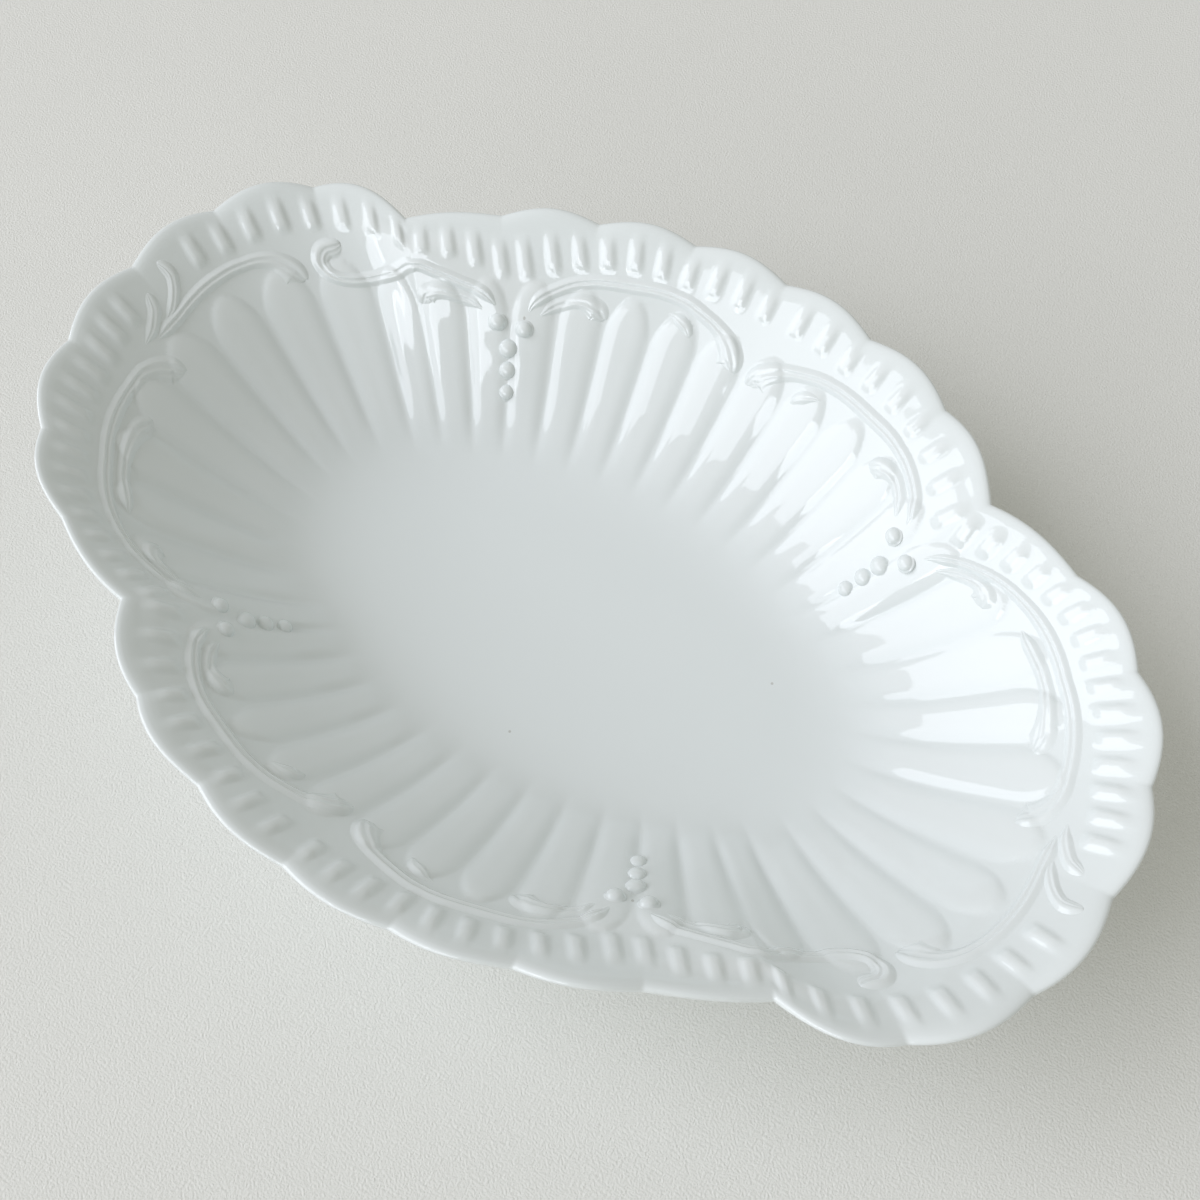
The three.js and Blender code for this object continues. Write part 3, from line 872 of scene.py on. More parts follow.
@dataclass(frozen=True)
class GlazeFinish:
    """A glazed porcelain finish, named after its material slot in the record."""

    slot: str
    clay: Colour = (0.79, 0.842, 0.842)
    pool: Colour = (0.76, 0.817, 0.817)
    # Colour blended in on the relief's crests: painted light, with painted shade left in the valleys.
    thin: Colour = (0.812, 0.858, 0.858)
    speck: Colour = (0.28, 0.25, 0.2)
    speck_share: float = 0.04
    gloss: float = 0.03
    ior: float = 1.52
    wave_depth: float = 0.03
    bare_below: float | None = None
    bare_edge: float = 0.6
    bare: Colour = (0.77, 0.75, 0.7)
    bare_roughness: float = 0.55
    grain_scale: float = 900.0

    def build(self, groups: GlazeGroups) -> Material:
        """Makes the material.

        Args:
            groups: the shared shader node groups.

        Returns:
            The material.
        """
        material, draft, shader = start_material(self.slot)
        tone = draft.node("ShaderNodeGroup", {"node_tree": groups.tone}, Clay=rgba(self.clay),
                          Pool=rgba(self.pool), Thin=rgba(self.thin))
        specks = draft.node("ShaderNodeGroup", {"node_tree": groups.specks}, Base=tone.outputs[0],
                            Speck=rgba(self.speck), Share=self.speck_share)
        skin = draft.node("ShaderNodeGroup", {"node_tree": groups.skin}, Gloss=self.gloss)
        colour, roughness = specks.outputs[0], skin.outputs["Roughness"]
        if self.bare_below is not None:
            place = draft.node("ShaderNodeTexCoord").outputs["Object"]
            level = draft.node("ShaderNodeSeparateXYZ", Vector=place).outputs["Z"]
            low, high = self.bare_below * self.bare_edge * MM, self.bare_below * MM
            bare = draft.math("SUBTRACT", 1.0, draft.step(level, low, high))
            grain = draft.node("ShaderNodeTexNoise", Vector=place, Scale=self.grain_scale, Detail=4.0)
            dusty = draft.blend(grain.outputs[0], rgba(self.bare), rgba(self.clay))
            colour = draft.blend(bare, colour, dusty)
            roughness = draft.math("MULTIPLY_ADD", bare, self.bare_roughness, roughness)
        bump = draft.node("ShaderNodeBump", Height=skin.outputs["Height"], Distance=self.wave_depth * MM)
        draft.feed_all(shader, IOR=self.ior, Base_Color=colour, Roughness=roughness, Normal=bump.outputs[0])
        return material


@dataclass(frozen=True)
class ReedRun:
    """A run of evenly spaced reeds in the rim band of one half."""

    first: float
    last: float
    count: int

    def places(self) -> np.ndarray:
        """Scallop numbers of the run's reeds."""
        return np.linspace(self.first, self.last, self.count)


@dataclass(frozen=True)
class RimBand:
    """The reeds between the scrolls and the rim: their places, ends, lean and section."""

    runs: tuple[ReedRun, ...] = (
        ReedRun(0.13, 3.62, 15),
        ReedRun(4.6, 6.85, 8),
        ReedRun(7.13, 8.0, 4),
        ReedRun(8.27, 10.95, 10),
        ReedRun(11.33, 13.9, 9),
    )
    feet: tuple[Place, ...] = (
        (0.0, 0.78), (0.4, 0.813), (0.8, 0.845), (1.3, 0.855), (3.0, 0.85), (3.6, 0.865), (4.6, 0.87),
        (7.1, 0.87), (7.5, 0.842), (8.0, 0.785), (8.2, 0.77), (8.5, 0.802), (9.0, 0.847), (9.6, 0.86),
        (10.9, 0.86), (12.0, 0.857), (13.0, 0.86), (13.4, 0.838), (13.7, 0.805), (14.0, 0.78),
    )
    tips: tuple[Place, ...] = (
        (0.0, 0.945), (0.5, 0.957), (1.0, 0.97), (7.0, 0.975), (7.6, 0.965), (8.1, 0.93), (8.5, 0.945),
        (9.0, 0.965), (9.5, 0.975), (13.2, 0.97), (13.7, 0.958), (14.0, 0.945),
    )
    leans: tuple[Place, ...] = (
        (0.0, -0.2), (1.0, -0.12), (2.3, 0.0), (7.0, 0.02), (8.3, -0.12), (9.0, -0.12), (10.3, 0.0),
        (12.5, 0.0), (14.0, 0.08),
    )
    foot_half_width: float = 2.45
    tip_half_width: float = 1.9
    height: float = 0.7
    top_share: float = 0.2
    foot_share: float = 0.28
    tip_share: float = 0.55
    # Place across and along a reed of a point that no reed reaches.
    clear: Place = (9.0, -1.0)

    def feeds(self) -> dict[str, float]:
        """Values of the wall tree's inputs that shape a reed."""
        return {"Reed Height": self.height * MM, "Reed Top": self.top_share, "Reed Foot": self.foot_share,
                "Reed Tip": self.tip_share}

    def field(self, form: DishForm, n: np.ndarray, t: np.ndarray) -> tuple[np.ndarray, np.ndarray]:
        """Place of each wall point in the reed next to it.

        Args:
            form: the dish's form.
            n: scallop numbers of the points.
            t: shares of the way up the wall of the points.

        Returns:
            Distances across the reed, in half widths, and shares of the way along it.
        """
        across, along = (np.full(n.shape, value) for value in self.clear)
        for start in np.concatenate([run.places() for run in self.runs]):
            foot, tip, lean = (np.interp(start, *zip(*knots)) for knots in (self.feet, self.tips, self.leans))
            share = (t - foot) / (tip - foot)
            per_n = form.scale(start, (foot + tip) / 2)[0]
            half = self.foot_half_width + (self.tip_half_width - self.foot_half_width) * np.clip(share, 0, 1)
            beside = form.beside(n, start + lean * (share - 0.5)) * per_n / half
            nearer = (np.abs(beside) < np.abs(across)) & (share > 0) & (share < 1)
            across = np.where(nearer, beside, across)
            along = np.where(nearer, share, along)
        return across, along


@dataclass
class DishShell:
    """Floor, lobed wall, reeded band, rolled lip and outside, in one closed shell."""

    form: DishForm
    trees: ReliefTrees
    band: RimBand
    finish: GlazeFinish
    fine_columns: int = 1400
    fine_from: float = 0.7
    fine_rows: int = 27
    coarse_rows: int = 34
    outside_rows: int = 12
    lip_round: float = 2.2
    lip_reach: float = 0.94
    lip_lean: float = 0.3
    lip_rows: int = 11
    floor_rings: tuple[float, ...] = (0.3, 0.65)

    def around(self, count: int) -> np.ndarray:
        """Scallop numbers of a ring's points."""
        return np.arange(count) * (self.form.scallops / count)

    def lip_start(self, n: np.ndarray) -> np.ndarray:
        """Share of the way up the wall at which the lip's rounding starts."""
        run = np.linalg.norm(self.form.cusp_line(n)[0] - self.form.floor_edge(n), axis=-1)
        return 1.0 - self.lip_round / run

    def wall_ring(self, draft: MeshDraft, n: np.ndarray, t: np.ndarray, level: np.ndarray | float = 0.0,
                  inside: float = 1.0) -> np.ndarray:
        """Adds a ring of wall points with their relief values.

        Args:
            draft: the mesh to add to.
            n: scallop numbers.
            t: shares of the way up the wall.
            level: depth of the points under the inside face.
            inside: 1 where the relief applies and 0 where it doesn't.

        Returns:
            The points' numbers.
        """
        t = np.broadcast_to(t, n.shape)
        points, inward = self.form.wall(n, t)
        across, along = self.band.field(self.form, n, t)
        below = inward * np.broadcast_to(level, n.shape)[:, None]
        return draft.add(points - below, inward=inward * inside, **self.form.relief_values(n, t),
                         reed_across=across, reed_along=along)

    def lip_rings(self, draft: MeshDraft, n: np.ndarray) -> list[np.ndarray]:
        """Adds the rolled lip, from the inside over the edge to the outside.

        Args:
            draft: the mesh to add to.
            n: scallop numbers.

        Returns:
            Numbers of the points of each ring.
        """
        start = self.lip_start(n)
        points, inward = self.form.wall(n, start)
        reach = self.form.wall(n, 1.0)[0] - points
        thick = self.form.thickness(start)
        zero = np.zeros(n.shape)
        rings = []
        for angle in np.linspace(0.0, math.pi, self.lip_rows):
            ahead = self.lip_reach * math.sin(angle) * (1.0 + self.lip_lean * math.cos(angle))
            below = thick * (1.0 - math.cos(angle)) / 2
            ring = points + reach * ahead - inward * below[:, None]
            across, along = self.band.field(self.form, n, start + (1.0 - start) * ahead)
            rings.append(draft.add(ring, inward=inward * max(math.cos(angle), 0.0), phase=zero, fold=zero,
                                   climb=start, reed_across=across, reed_along=along))
        return rings

    def build(self, material: Material) -> None:
        """Builds the shell and dresses it.

        Args:
            material: the body's glaze.
        """
        draft = MeshDraft()
        fine, coarse = self.around(self.fine_columns), self.around(self.fine_columns // 2)
        lowest = -self.form.floor_blend
        floor_edge = self.form.wall(coarse, lowest)[0]
        centre = np.array([0.0, 0.0, floor_edge[0, 2]])
        up = np.tile([0.0, 0.0, 1.0], (len(coarse), 1))
        zero = np.zeros(len(coarse))
        across, along = (np.full(len(coarse), value) for value in self.band.clear)
        flat = {"phase": zero, "fold": zero, "climb": zero, "reed_across": across, "reed_along": along}
        rings = [draft.add(centre + (floor_edge - centre) * share, inward=up, **flat)
                 for share in self.floor_rings]
        rings += [self.wall_ring(draft, coarse, t)
                  for t in np.linspace(lowest, self.fine_from, self.coarse_rows, endpoint=False)]
        lip_start = self.lip_start(fine)
        rings += [self.wall_ring(draft, fine, self.fine_from + (lip_start - self.fine_from) * share)
                  for share in np.linspace(0.0, 1.0, self.fine_rows, endpoint=False)]
        rings += self.lip_rings(draft, fine)
        outer_start = self.lip_start(coarse)
        for share in np.linspace(1.0, 0.0, self.outside_rows + 1)[1:]:
            t = outer_start * share
            rings.append(self.wall_ring(draft, coarse, t, self.form.thickness(t), 0.0))
        one = {key: value[:1] for key, value in flat.items()}
        under = np.array([0.0, 0.0, self.form.foot_height])
        ends = [int(draft.add(middle, inward=up[:1], **one)[0]) for middle in (centre, under)]
        draft.skin(rings, *ends)
        obj = draft.build("dish_shell")
        grow(obj, self.trees.wall, {"Material": material, **self.band.feeds()})
        seat(obj, self.finish.slot, ["dish_body"])


def smooth_line(knots: np.ndarray, step: float, per_knot: int = 60, fewest: int = 8) -> np.ndarray:
    """Smooth line through knots.

    Args:
        knots: plane points that the line passes through.
        step: distance between the line's points.
        per_knot: points that are worked out from each knot to the next.
        fewest: the least number of steps along the line.

    Returns:
        Points at even distances along the line.
    """
    padded = np.concatenate([knots[:1], knots, knots[-1:]])
    u = np.linspace(0.0, 1.0, per_knot, endpoint=False)[:, None]
    parts = []
    for p0, p1, p2, p3 in zip(padded, padded[1:], padded[2:], padded[3:]):
        v0, v1 = (p2 - p0) / 2, (p3 - p1) / 2
        cubic, square = 2 * p1 - 2 * p2 + v0 + v1, 3 * p2 - 3 * p1 - 2 * v0 - v1
        parts.append(cubic * u**3 + square * u**2 + v0 * u + p1)
    points = np.concatenate([*parts, knots[-1:]])
    lengths = travelled(points)
    even = np.linspace(0.0, lengths[-1], max(fewest, round(lengths[-1] / step)) + 1)
    return np.stack([np.interp(even, lengths, axis) for axis in points.T], -1)


@dataclass(frozen=True)
class RibSize:
    """Sizes of a rib: the groove is a share of its height, and the curl's spread adds to its half width."""

    half_width: float
    height: float
    groove: float
    taper: float
    curl_spread: float


class RibKind(Enum):
    """Kinds of rib in the scrollwork."""

    SCROLL = RibSize(2.0, 0.9, 0.45, 5.0, 4.0)
    VOLUTE = RibSize(2.0, 0.9, 0.45, 3.0, 1.4)
    CURL = RibSize(2.0, 0.85, 0.4, 4.2, 2.6)
    LEAF = RibSize(1.8, 0.7, 0.3, 4.5, 0.0)


SCROLLS: dict[str, tuple[RibKind, tuple[Place, ...]]] = {
    "long_scroll": (RibKind.SCROLL, (
        (0.15, 0.7), (0.26, 0.735), (0.5, 0.778), (1.0, 0.815), (2.0, 0.813), (3.0, 0.803), (3.33, 0.785),
        (3.54, 0.75), (3.61, 0.706))),
    "short_scroll": (RibKind.SCROLL, (
        (3.62, 0.812), (3.9, 0.818), (4.25, 0.828), (4.6, 0.836), (5.0, 0.84), (5.33, 0.821), (5.53, 0.785),
        (5.6, 0.745))),
    "shoulder_scroll": (RibKind.VOLUTE, (
        (7.96, 0.712), (7.8, 0.752), (7.5, 0.785), (7.25, 0.815), (7.0, 0.84), (6.72, 0.785), (6.42, 0.748),
        (6.12, 0.735), (5.89, 0.752), (5.81, 0.79), (5.9, 0.828), (6.12, 0.842))),
    "left_scroll": (RibKind.SCROLL, (
        (8.36, 0.695), (8.43, 0.73), (8.62, 0.768), (9.0, 0.816), (9.5, 0.828), (10.0, 0.84), (10.4, 0.812),
        (10.75, 0.778), (10.91, 0.738), (10.95, 0.7))),
    "right_scroll": (RibKind.SCROLL, (
        (13.72, 0.722), (13.64, 0.76), (13.45, 0.795), (13.0, 0.83), (12.5, 0.826), (12.0, 0.825),
        (11.6, 0.792), (11.3, 0.76), (11.16, 0.725), (11.13, 0.688))),
    "heel_curl": (RibKind.CURL, (
        (0.34, 0.69), (0.52, 0.73), (0.76, 0.757), (0.93, 0.743), (1.0, 0.71))),
    "inner_curl": (RibKind.CURL, (
        (1.35, 0.762), (1.9, 0.763), (2.35, 0.757), (2.64, 0.743), (2.79, 0.712))),
    "low_frond": (RibKind.LEAF, ((3.48, 0.826), (3.67, 0.838), (3.84, 0.867), (3.9, 0.892), (3.93, 0.918))),
    "high_frond": (RibKind.LEAF, (
        (3.85, 0.828), (4.02, 0.846), (4.16, 0.872), (4.25, 0.903), (4.25, 0.93), (4.21, 0.955))),
    "shoulder_curl": (RibKind.CURL, (
        (7.8, 0.697), (7.68, 0.718), (7.45, 0.742), (7.21, 0.76), (7.07, 0.745), (7.03, 0.712))),
    "left_curl": (RibKind.CURL, (
        (8.5, 0.69), (8.68, 0.727), (8.96, 0.757), (9.19, 0.747), (9.3, 0.715))),
    "left_tendril": (RibKind.LEAF, ((9.95, 0.79), (10.1, 0.782), (10.24, 0.765), (10.3, 0.74))),
    "right_tendril": (RibKind.LEAF, ((12.0, 0.774), (11.86, 0.76), (11.74, 0.735), (11.7, 0.71))),
    "right_curl": (RibKind.CURL, (
        (13.57, 0.705), (13.4, 0.745), (13.16, 0.771), (12.97, 0.762), (12.87, 0.73))),
}


@dataclass
class ScrollWork:
    """The applied scrolls, curls, fronds and tendrils inside the wall."""

    form: DishForm
    trees: ReliefTrees
    finish: GlazeFinish
    step: float = 0.6
    samples: int = 29
    skirt: float = 1.3
    sink: float = 0.06
    bottom: float = 0.9
    eye_share: float = 0.92
    groove_width: float = 0.34
    softness: float = 1.7
    fan_softness: float = 1.0
    fan_ridges: int = 3
    fan_depth: float = 1.0
    root_taper: float = 5.0
    root_share: float = 0.5
    curl_length: float = 15.0
    curl_share: float = 0.55
    least_rounding: float = 0.02
    least_bend: float = 1e-6
    # Place across a rib of the points under it, which the rib doesn't raise.
    clear: float = 9.0

    def taper(self, size: RibSize, travel: np.ndarray) -> tuple[np.ndarray, np.ndarray, np.ndarray]:
        """How a rib changes along its path.

        Args:
            size: the rib's sizes.
            travel: distances along the path.

        Returns:
            Rounding of both ends, share of the full size near the root, and share of the curl's spread.
        """
        left = travel[-1] - travel
        ends = np.clip(np.minimum(travel, left) / size.taper, 0.0, 1.0)
        rounding = np.sqrt(np.clip(1.0 - (1.0 - ends) ** 2, self.least_rounding, 1.0))
        root = self.root_share + (1.0 - self.root_share) * smoothstep(travel, 0.0, self.root_taper)
        curl_length = min(self.curl_length, self.curl_share * travel[-1])
        return rounding, root, 1.0 - smoothstep(left, 0.0, curl_length)

    def reach(self, across: np.ndarray, half_widths: np.ndarray, bend: np.ndarray) -> np.ndarray:
        """How far a strip's points lie from its path.

        Args:
            across: places across the strip, in half widths.
            half_widths: half widths of the rib, a row for each point of the path.
            bend: how sharply the path bends at each of its points.

        Returns:
            Distances, a row for each point of the path, which stop short of the middle of a bend.
        """
        free = across * half_widths
        limit = (self.eye_share / np.maximum(np.abs(bend), self.least_bend))[:, None] * np.abs(across)
        is_inner = np.sign(free) == np.sign(bend)[:, None]
        return np.where(is_inner, np.sign(free) * np.minimum(np.abs(free), limit), free)

    def strip(self, kind: RibKind, places: tuple[Place, ...], first: float) -> MeshDraft:
        """Lays a closed strip on the wall along a path, ready to be raised.

        Args:
            kind: the rib's sizes.
            places: the path from root to tip.
            first: scallop number at which the half begins.

        Returns:
            The strip.
        """
        size = kind.value
        scale = self.form.scale(*places[len(places) // 2])
        line = smooth_line(np.array(places) * scale, self.step)
        along = unit(np.gradient(line, axis=0))
        side = np.stack([-along[:, 1], along[:, 0]], -1)
        travel = np.linspace(0.0, travelled(line)[-1], len(line))
        bend = np.einsum("ij,ij->i", np.gradient(along, travel, axis=0), side)
        rounding, root, widened = self.taper(size, travel)
        across = np.linspace(-self.skirt, self.skirt, self.samples)
        into_curl = np.sign(across) == np.sign(bend[widened > 0].sum())
        narrow = (size.half_width * rounding * root)[:, None]
        curl = (size.curl_spread * rounding * widened)[:, None]
        reach = self.reach(across, np.where(into_curl, narrow + curl, narrow), bend)
        middle = np.clip(1.0 - (across / self.groove_width) ** 2, 0.0, 1.0) ** 2
        ridges = 0.5 - 0.5 * np.cos(2.0 * np.pi * self.fan_ridges * np.abs(across))
        cut = middle + (ridges * into_curl * self.fan_depth - middle) * widened[:, None]
        softness = self.softness + (self.fan_softness - self.softness) * widened[:, None] * into_curl
        low = np.append(np.full(self.samples, -self.sink), [-self.bottom] * 2) * MM
        draft = MeshDraft()
        rings = []
        for i, place in enumerate(line):
            at = (place + side[i] * np.append(reach[i], reach[i, [-1, 0]])[:, None]) / scale
            n, t = at[:, 0] + first, at[:, 1]
            points, inward = self.form.wall(n, t)
            rings.append(draft.add(points, inward=inward, **self.form.relief_values(n, t), seat=low,
                                   across=np.append(across, [self.clear] * 2),
                                   cut=np.append(cut[i], [0.0, 0.0]),
                                   softness=np.append(softness[i], [1.0, 1.0]),
                                   fullness=np.full(len(t), rounding[i] ** 2 * root[i])))
        ends = []
        for k in (0, len(line) - 1):
            values = {key: parts[k][:1] for key, parts in draft.values.items()}
            values |= {"across": [self.clear], "seat": [-self.bottom * MM / 2]}
            ends.append(int(draft.add(draft.points[k].mean(0), **values)[0]))
        draft.skin(rings, *ends)
        return draft

    def build(self, half: Half, material: Material) -> None:
        """Builds one half's scrollwork and dresses it.

        Args:
            half: which half.
            material: the relief's glaze.
        """
        for name, (kind, places) in SCROLLS.items():
            obj = self.strip(kind, places, half.first).build(f"{name}_relief_{half.suffix}")
            grow(obj, self.trees.rib, {"Material": material, "Rib Height": kind.value.height * MM,
                                       "Groove": kind.value.groove})
            seat(obj, self.finish.slot, [f"{name}_{half.suffix}"])


ROOTS: dict[str, Place] = {
    "long_root": (0.08, 0.656),
    "shoulder_root": (7.98, 0.662),
    "left_root": (8.33, 0.646),
    "right_root": (13.72, 0.672),
}


@dataclass(frozen=True)
class Bead:
    """A bead: the node that it stands for, without its half, its place on the wall and its width."""

    node: str
    n: float
    t: float
    width: float


@dataclass
class BeadWork:
    """Columns of beads where the ends meet the sides, and the round roots of the scrolls beside them."""

    form: DishForm
    trees: ReliefTrees
    finish: GlazeFinish
    column: tuple[tuple[str, float, float], ...] = (
        ("large", 0.578, 4.5), ("middle", 0.505, 4.1), ("small", 0.425, 3.7))
    root_size: float = 3.7
    rise: float = 0.38
    turns: int = 28
    dome_angles: tuple[float, float] = (8.0, 80.0)
    dome_rings: int = 7
    # Radius and level of each ring of the flared foot, for a bead of unit width.
    flare: tuple[tuple[float, float], ...] = ((0.515, 0.03), (0.55, 0.004), (0.62, -0.02), (0.62, -0.12))

    def pattern(self) -> Object:
        """Makes the bead that is set on each point: a dome of unit width with a soft flared foot.

        Returns:
            The bead, which is removed once the beads are placed.
        """
        steep = np.linspace(*np.radians(self.dome_angles), self.dome_rings)
        section = [*zip(0.5 * np.sin(steep), self.rise * np.cos(steep)), *self.flare]
        angle = np.arange(self.turns) * 2 * math.pi / self.turns
        draft = MeshDraft()
        rings = [draft.add(np.stack([r * np.cos(angle), r * np.sin(angle), np.full(self.turns, z)], -1) / MM)
                 for r, z in section]
        ends = [int(draft.add(np.array([0.0, 0.0, level / MM]))[0]) for level in (self.rise, section[-1][1])]
        draft.skin(rings, *ends)
        bead = draft.build("bead_pattern")
        bead.data.shade_smooth()
        return bead

    def place(self, name: str, beads: list[Bead], half: Half, material: Material, pattern: Object) -> None:
        """Sets beads on the wall as one piece.

        Args:
            name: the piece's name without its half.
            beads: the beads.
            half: which half.
            material: the relief's glaze.
            pattern: the bead to set on each place.
        """
        n, t, width = np.array([(bead.n + half.first, bead.t, bead.width) for bead in beads]).T
        points, inward = self.form.wall(n, t)
        draft = MeshDraft()
        draft.add(points, inward=inward, **self.form.relief_values(n, t), size=width * MM)
        obj = draft.build(f"{name}_{half.suffix}")
        grow(obj, self.trees.beads, {"Material": material, "Pattern": pattern})
        seat(obj, self.finish.slot, [f"{bead.node}_{half.suffix}" for bead in beads])

    def build(self, half: Half, material: Material) -> None:
        """Builds one half's beads and dresses them.

        Args:
            half: which half.
            material: the relief's glaze.
        """
        pattern = self.pattern()
        columns = {"bead_end": self.form.end_beads_at, "bead_side": self.form.side_beads_at}
        for name, n in columns.items():
            beads = [Bead(f"{name}_{size}", n, t, width) for size, t, width in self.column]
            self.place(f"{name}_drop", beads, half, material, pattern)
        roots = [Bead(name, n, t, self.root_size) for name, (n, t) in ROOTS.items()]
        self.place("scroll_roots", roots, half, material, pattern)
        bpy.data.objects.remove(pattern)


@dataclass
class FootRim:
    """The oval ring that the dish stands on, glazed on its sides and bare where it stands."""

    form: DishForm
    finish: GlazeFinish
    width: float = 5.0
    inset: float = 2.0
    taper: float = 0.7
    edge_round: float = 1.1
    columns: int = 560
    edge_steps: int = 6
    sunk: float = 0.6

    def build(self, material: Material) -> None:
        """Builds the ring and dresses it.

        Args:
            material: the foot's finish.
        """
        n = np.arange(self.columns) * (self.form.scallops / self.columns)
        run = self.form.cusp_line(n)[0] - self.form.floor_edge(n)
        length = np.linalg.norm(run, axis=-1)
        level = np.concatenate([run / length[:, None], np.zeros((len(n), 1))], -1)
        tops = []
        for reach in (self.inset, self.inset + self.width):
            t = reach / length
            points, inward = self.form.wall(n, t)
            tops.append(points - inward * (self.form.thickness(t) - self.sunk)[:, None])
        turn = np.linspace(0.0, math.pi / 2, self.edge_steps)
        up = np.array([0.0, 0.0, self.edge_round])
        section = list(tops)
        for top, side, angles in ((tops[1], -level, turn), (tops[0], level, turn[::-1])):
            foot = top * [1.0, 1.0, 0.0] + side * self.taper
            for angle in angles:
                inset = side * (self.edge_round * (1.0 - math.cos(angle)))
                section.append(foot + inset + up * (1.0 - math.sin(angle)))
        draft = MeshDraft()
        rings = [draft.add(ring) for ring in section]
        draft.skin([*rings, rings[0]])
        obj = draft.build("foot_rim")
        obj.data.shade_smooth()
        obj.data.materials.append(material)
        seat(obj, self.finish.slot, ["foot_ring"])


@dataclass(frozen=True)
class Window:
    """A window of the room as seen from the dish: its bearing, half width, low and high edge in degrees."""

    name: str
    bearing: float
    half_width: float
    low: float
    high: float
    shine: float = 2.5
    colour: Colour = (0.95, 1.0, 1.1)
    distance: float = 1.7

    def build(self) -> None:
        """Makes the window as an upright area light that shows in the glaze."""
        width = 2 * self.distance * math.tan(math.radians(self.half_width))
        bottom, top = (self.distance * math.tan(math.radians(angle)) for angle in (self.low, self.high))
        bearing = math.radians(self.bearing)
        away = Vector((math.cos(bearing), math.sin(bearing), 0.0))
        place = away * self.distance + Vector((0.0, 0.0, (bottom + top) / 2))
        light = area_light(self.name, place, away, (width, top - bottom), self.shine, self.colour)
        light.visible_diffuse = False


def area_light(name: str, place: Vector, away: Vector, size: Plan, radiance: float, colour: Colour) -> Object:
    """Makes a rectangular light that the camera doesn't see.

    Args:
        name: the light's name.
        place: its middle, in metres.
        away: the unit direction that it shines against.
        size: its width, which lies level, and its height, in metres.
        radiance: how bright its face is.
        colour: its colour.

    Returns:
        The light.
    """
    across = Vector((-away.y, away.x, 0.0)).normalized()
    turn = Matrix((across, away.cross(across), away)).transposed().to_4x4()
    lamp = bpy.data.lights.new(name, "AREA")
    lamp.shape = "RECTANGLE"
    lamp.size, lamp.size_y = size
    lamp.energy = radiance * math.pi * size[0] * size[1]
    lamp.color = colour
    obj = bpy.data.objects.new(name, lamp)
    bpy.context.scene.collection.objects.link(obj)
    obj.matrix_world = Matrix.Translation(place) @ turn
    obj.visible_camera = False
    return obj


@dataclass(frozen=True)
class SoftLight:
    """A large soft light that doesn't show in the glaze, placed by its bearing and height in degrees."""

    name: str
    bearing: float
    height: float
    distance: float
    size: Plan
    radiance: float
    colour: Colour

    def build(self) -> None:
        """Makes the light."""
        bearing, height = math.radians(self.bearing), math.radians(self.height)
        level = math.cos(height)
        away = Vector((level * math.cos(bearing), level * math.sin(bearing), math.sin(height)))
        light = area_light(self.name, away * self.distance, away, self.size, self.radiance, self.colour)
        light.visible_glossy = False


@dataclass(frozen=True)
class PaperFinish:
    """The table's pale top, slightly uneven in tone, with a fine paper-like grain."""

    colour: Colour = (0.81, 0.82, 0.785)
    shade: float = 0.975
    roughness: float = 0.75
    specular: float = 0.2
    cloud_scale: float = 14.0
    grain_scale: float = 1900.0
    grain_depth: float = 0.3

    def build(self) -> Material:
        """Makes the material.

        Returns:
            The material.
        """
        material, draft, shader = start_material("table_paper")
        place = draft.node("ShaderNodeTexCoord").outputs["Object"]
        grain = draft.node("ShaderNodeTexNoise", Vector=place, Scale=self.grain_scale, Detail=4.0)
        cloud = draft.node("ShaderNodeTexNoise", Vector=place, Scale=self.cloud_scale, Detail=2.0)
        tint = tuple(self.shade * value for value in self.colour)
        tone = draft.blend(cloud.outputs[0], rgba(self.colour), rgba(tint))
        bump = draft.node("ShaderNodeBump", Height=grain.outputs[0], Distance=self.grain_depth * MM)
        draft.feed_all(shader, Specular_IOR_Level=self.specular, Roughness=self.roughness, Base_Color=tone,
                       Normal=bump.outputs[0])
        return material


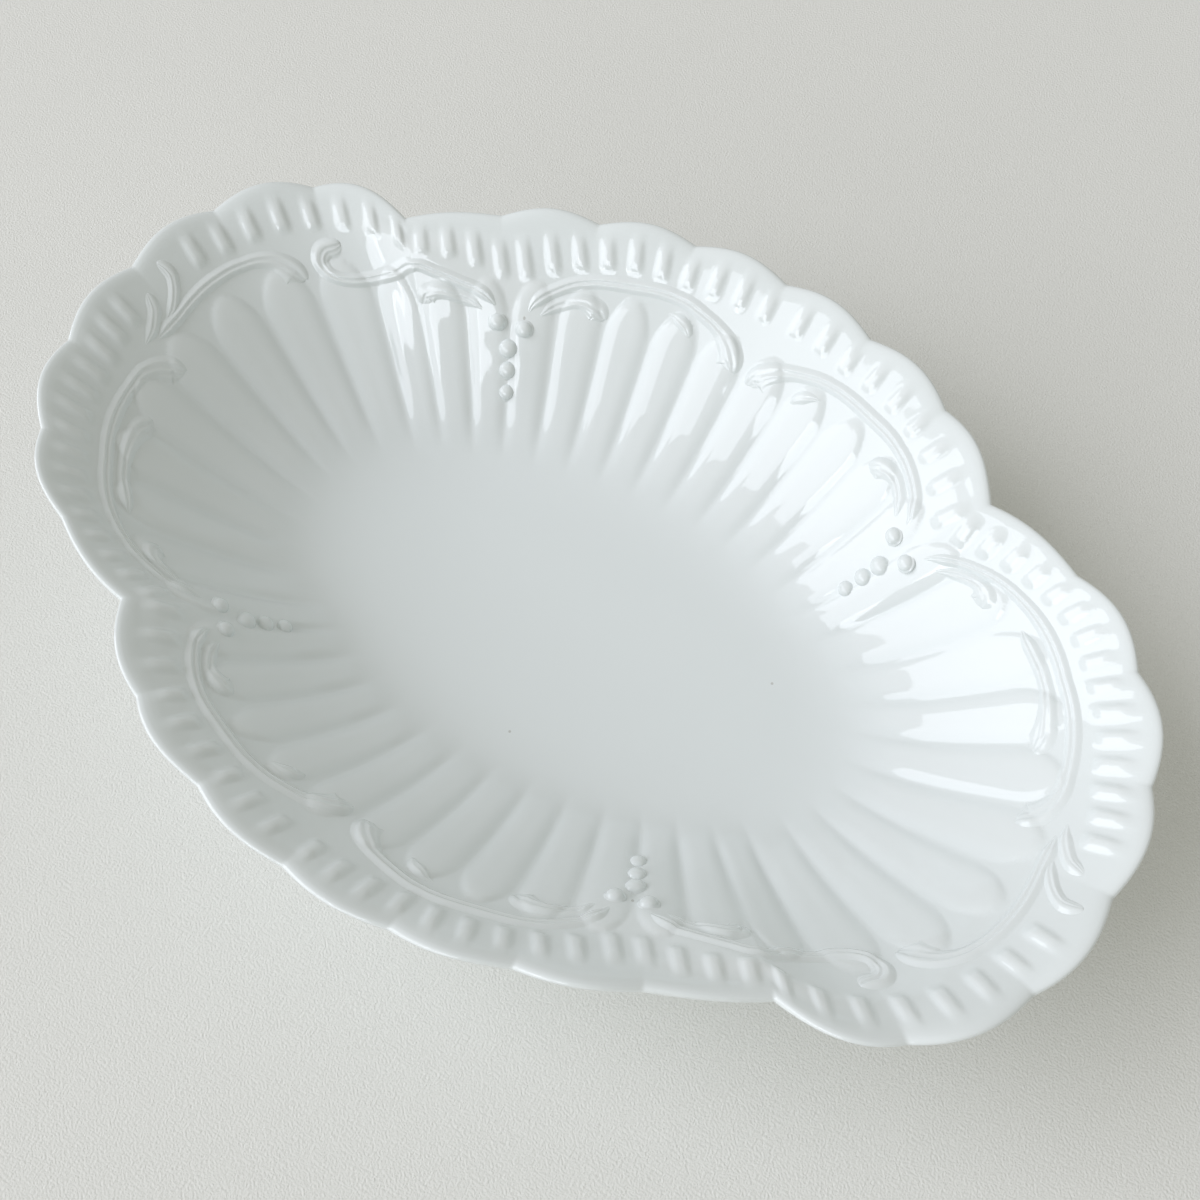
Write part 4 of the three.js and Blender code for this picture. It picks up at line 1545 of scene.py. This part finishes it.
@dataclass
class Studio:
    """Pale table, window light and the camera at the photograph's angle."""

    windows: tuple[Window, ...] = (
        Window("window_side", -90.0, 15.0, 3.0, 30.0, 4.6),
        Window("window_near", -117.0, 14.0, 3.0, 40.0),
        Window("window_left", -153.5, 22.5, 3.0, 35.0),
    )
    soft_lights: tuple[SoftLight, ...] = (
        SoftLight("key", -148.0, 42.5, 6.0, (5.3, 4.0), 3.25, (1.0, 1.0, 1.1)),
        SoftLight("fill", -110.0, 16.0, 3.0, (4.0, 1.4), 1.25, (1.0, 1.0, 1.03)),
    )
    sky: Colour = (1.0, 0.985, 0.9)
    sky_strength: float = 0.44
    table: PaperFinish = PaperFinish()
    table_half: float = 3.0
    azimuth: float = 31.02
    elevation: float = 64.0
    roll: float = -0.94
    eye: tuple[float, float, float] = (71.0, -103.6, 279.45)
    lens: float = 38.913
    sensor: float = 36.0
    nearest: float = 10.0

    def build_table(self) -> None:
        """Makes the table top."""
        draft = MeshDraft()
        half = self.table_half / MM
        corners = [(x * half, y * half, 0.0) for x, y in ((-1, -1), (1, -1), (1, 1), (-1, 1))]
        draft.faces.append(draft.add(np.array(corners)).tolist())
        obj = draft.build("table_top")
        obj.data.materials.append(self.table.build())

    def build_sky(self) -> None:
        """Sets the room's even light."""
        world = bpy.data.worlds.new("room")
        world.use_nodes = True
        background = world.node_tree.nodes["Background"]
        background.inputs["Color"].default_value = rgba(self.sky)
        background.inputs["Strength"].default_value = self.sky_strength
        bpy.context.scene.world = world

    def build_camera(self) -> None:
        """Sets the camera where the photograph was taken from."""
        a, e, r = (math.radians(angle) for angle in (self.azimuth, self.elevation, self.roll))
        back = Vector((math.sin(a) * math.cos(e), -math.cos(a) * math.cos(e), math.sin(e)))
        right = Vector((math.cos(a), math.sin(a), 0.0))
        up = back.cross(right)
        rolled = (right * math.cos(r) + up * math.sin(r), up * math.cos(r) - right * math.sin(r), back)
        data = bpy.data.cameras.new("camera")
        data.lens = self.lens
        data.sensor_width = self.sensor
        data.clip_start = self.nearest * MM
        camera = bpy.data.objects.new("camera", data)
        bpy.context.scene.collection.objects.link(camera)
        camera.matrix_world = Matrix(rolled).transposed().to_4x4()
        camera.location = Vector(self.eye) * MM
        bpy.context.scene.camera = camera

    def build(self) -> None:
        """Builds the studio."""
        self.build_table()
        self.build_sky()
        self.build_camera()
        for light in (*self.windows, *self.soft_lights):
            light.build()
        bpy.context.scene.view_settings.view_transform = "Standard"


def main() -> None:
    """Builds the dish piece by piece on its frame, and its studio."""
    logging.basicConfig(level=logging.INFO, format="%(name)s: %(message)s")
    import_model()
    form = DishForm()
    trees = ReliefTrees(LobeSizes())
    groups = GlazeGroups()
    body_glaze = GlazeFinish("body_glaze", speck_share=0.12)
    relief_glaze = GlazeFinish("relief_glaze")
    foot_finish = GlazeFinish("foot_porcelain", bare_below=1.2)
    body, relief, foot = (finish.build(groups) for finish in (body_glaze, relief_glaze, foot_finish))
    DishShell(form, trees, RimBand(), body_glaze).build(body)
    FootRim(form, foot_finish).build(foot)
    for half in Half:
        ScrollWork(form, trees, relief_glaze).build(half, relief)
        BeadWork(form, trees, relief_glaze).build(half, relief)
    Studio().build()


if __name__ == "__main__":
    main()
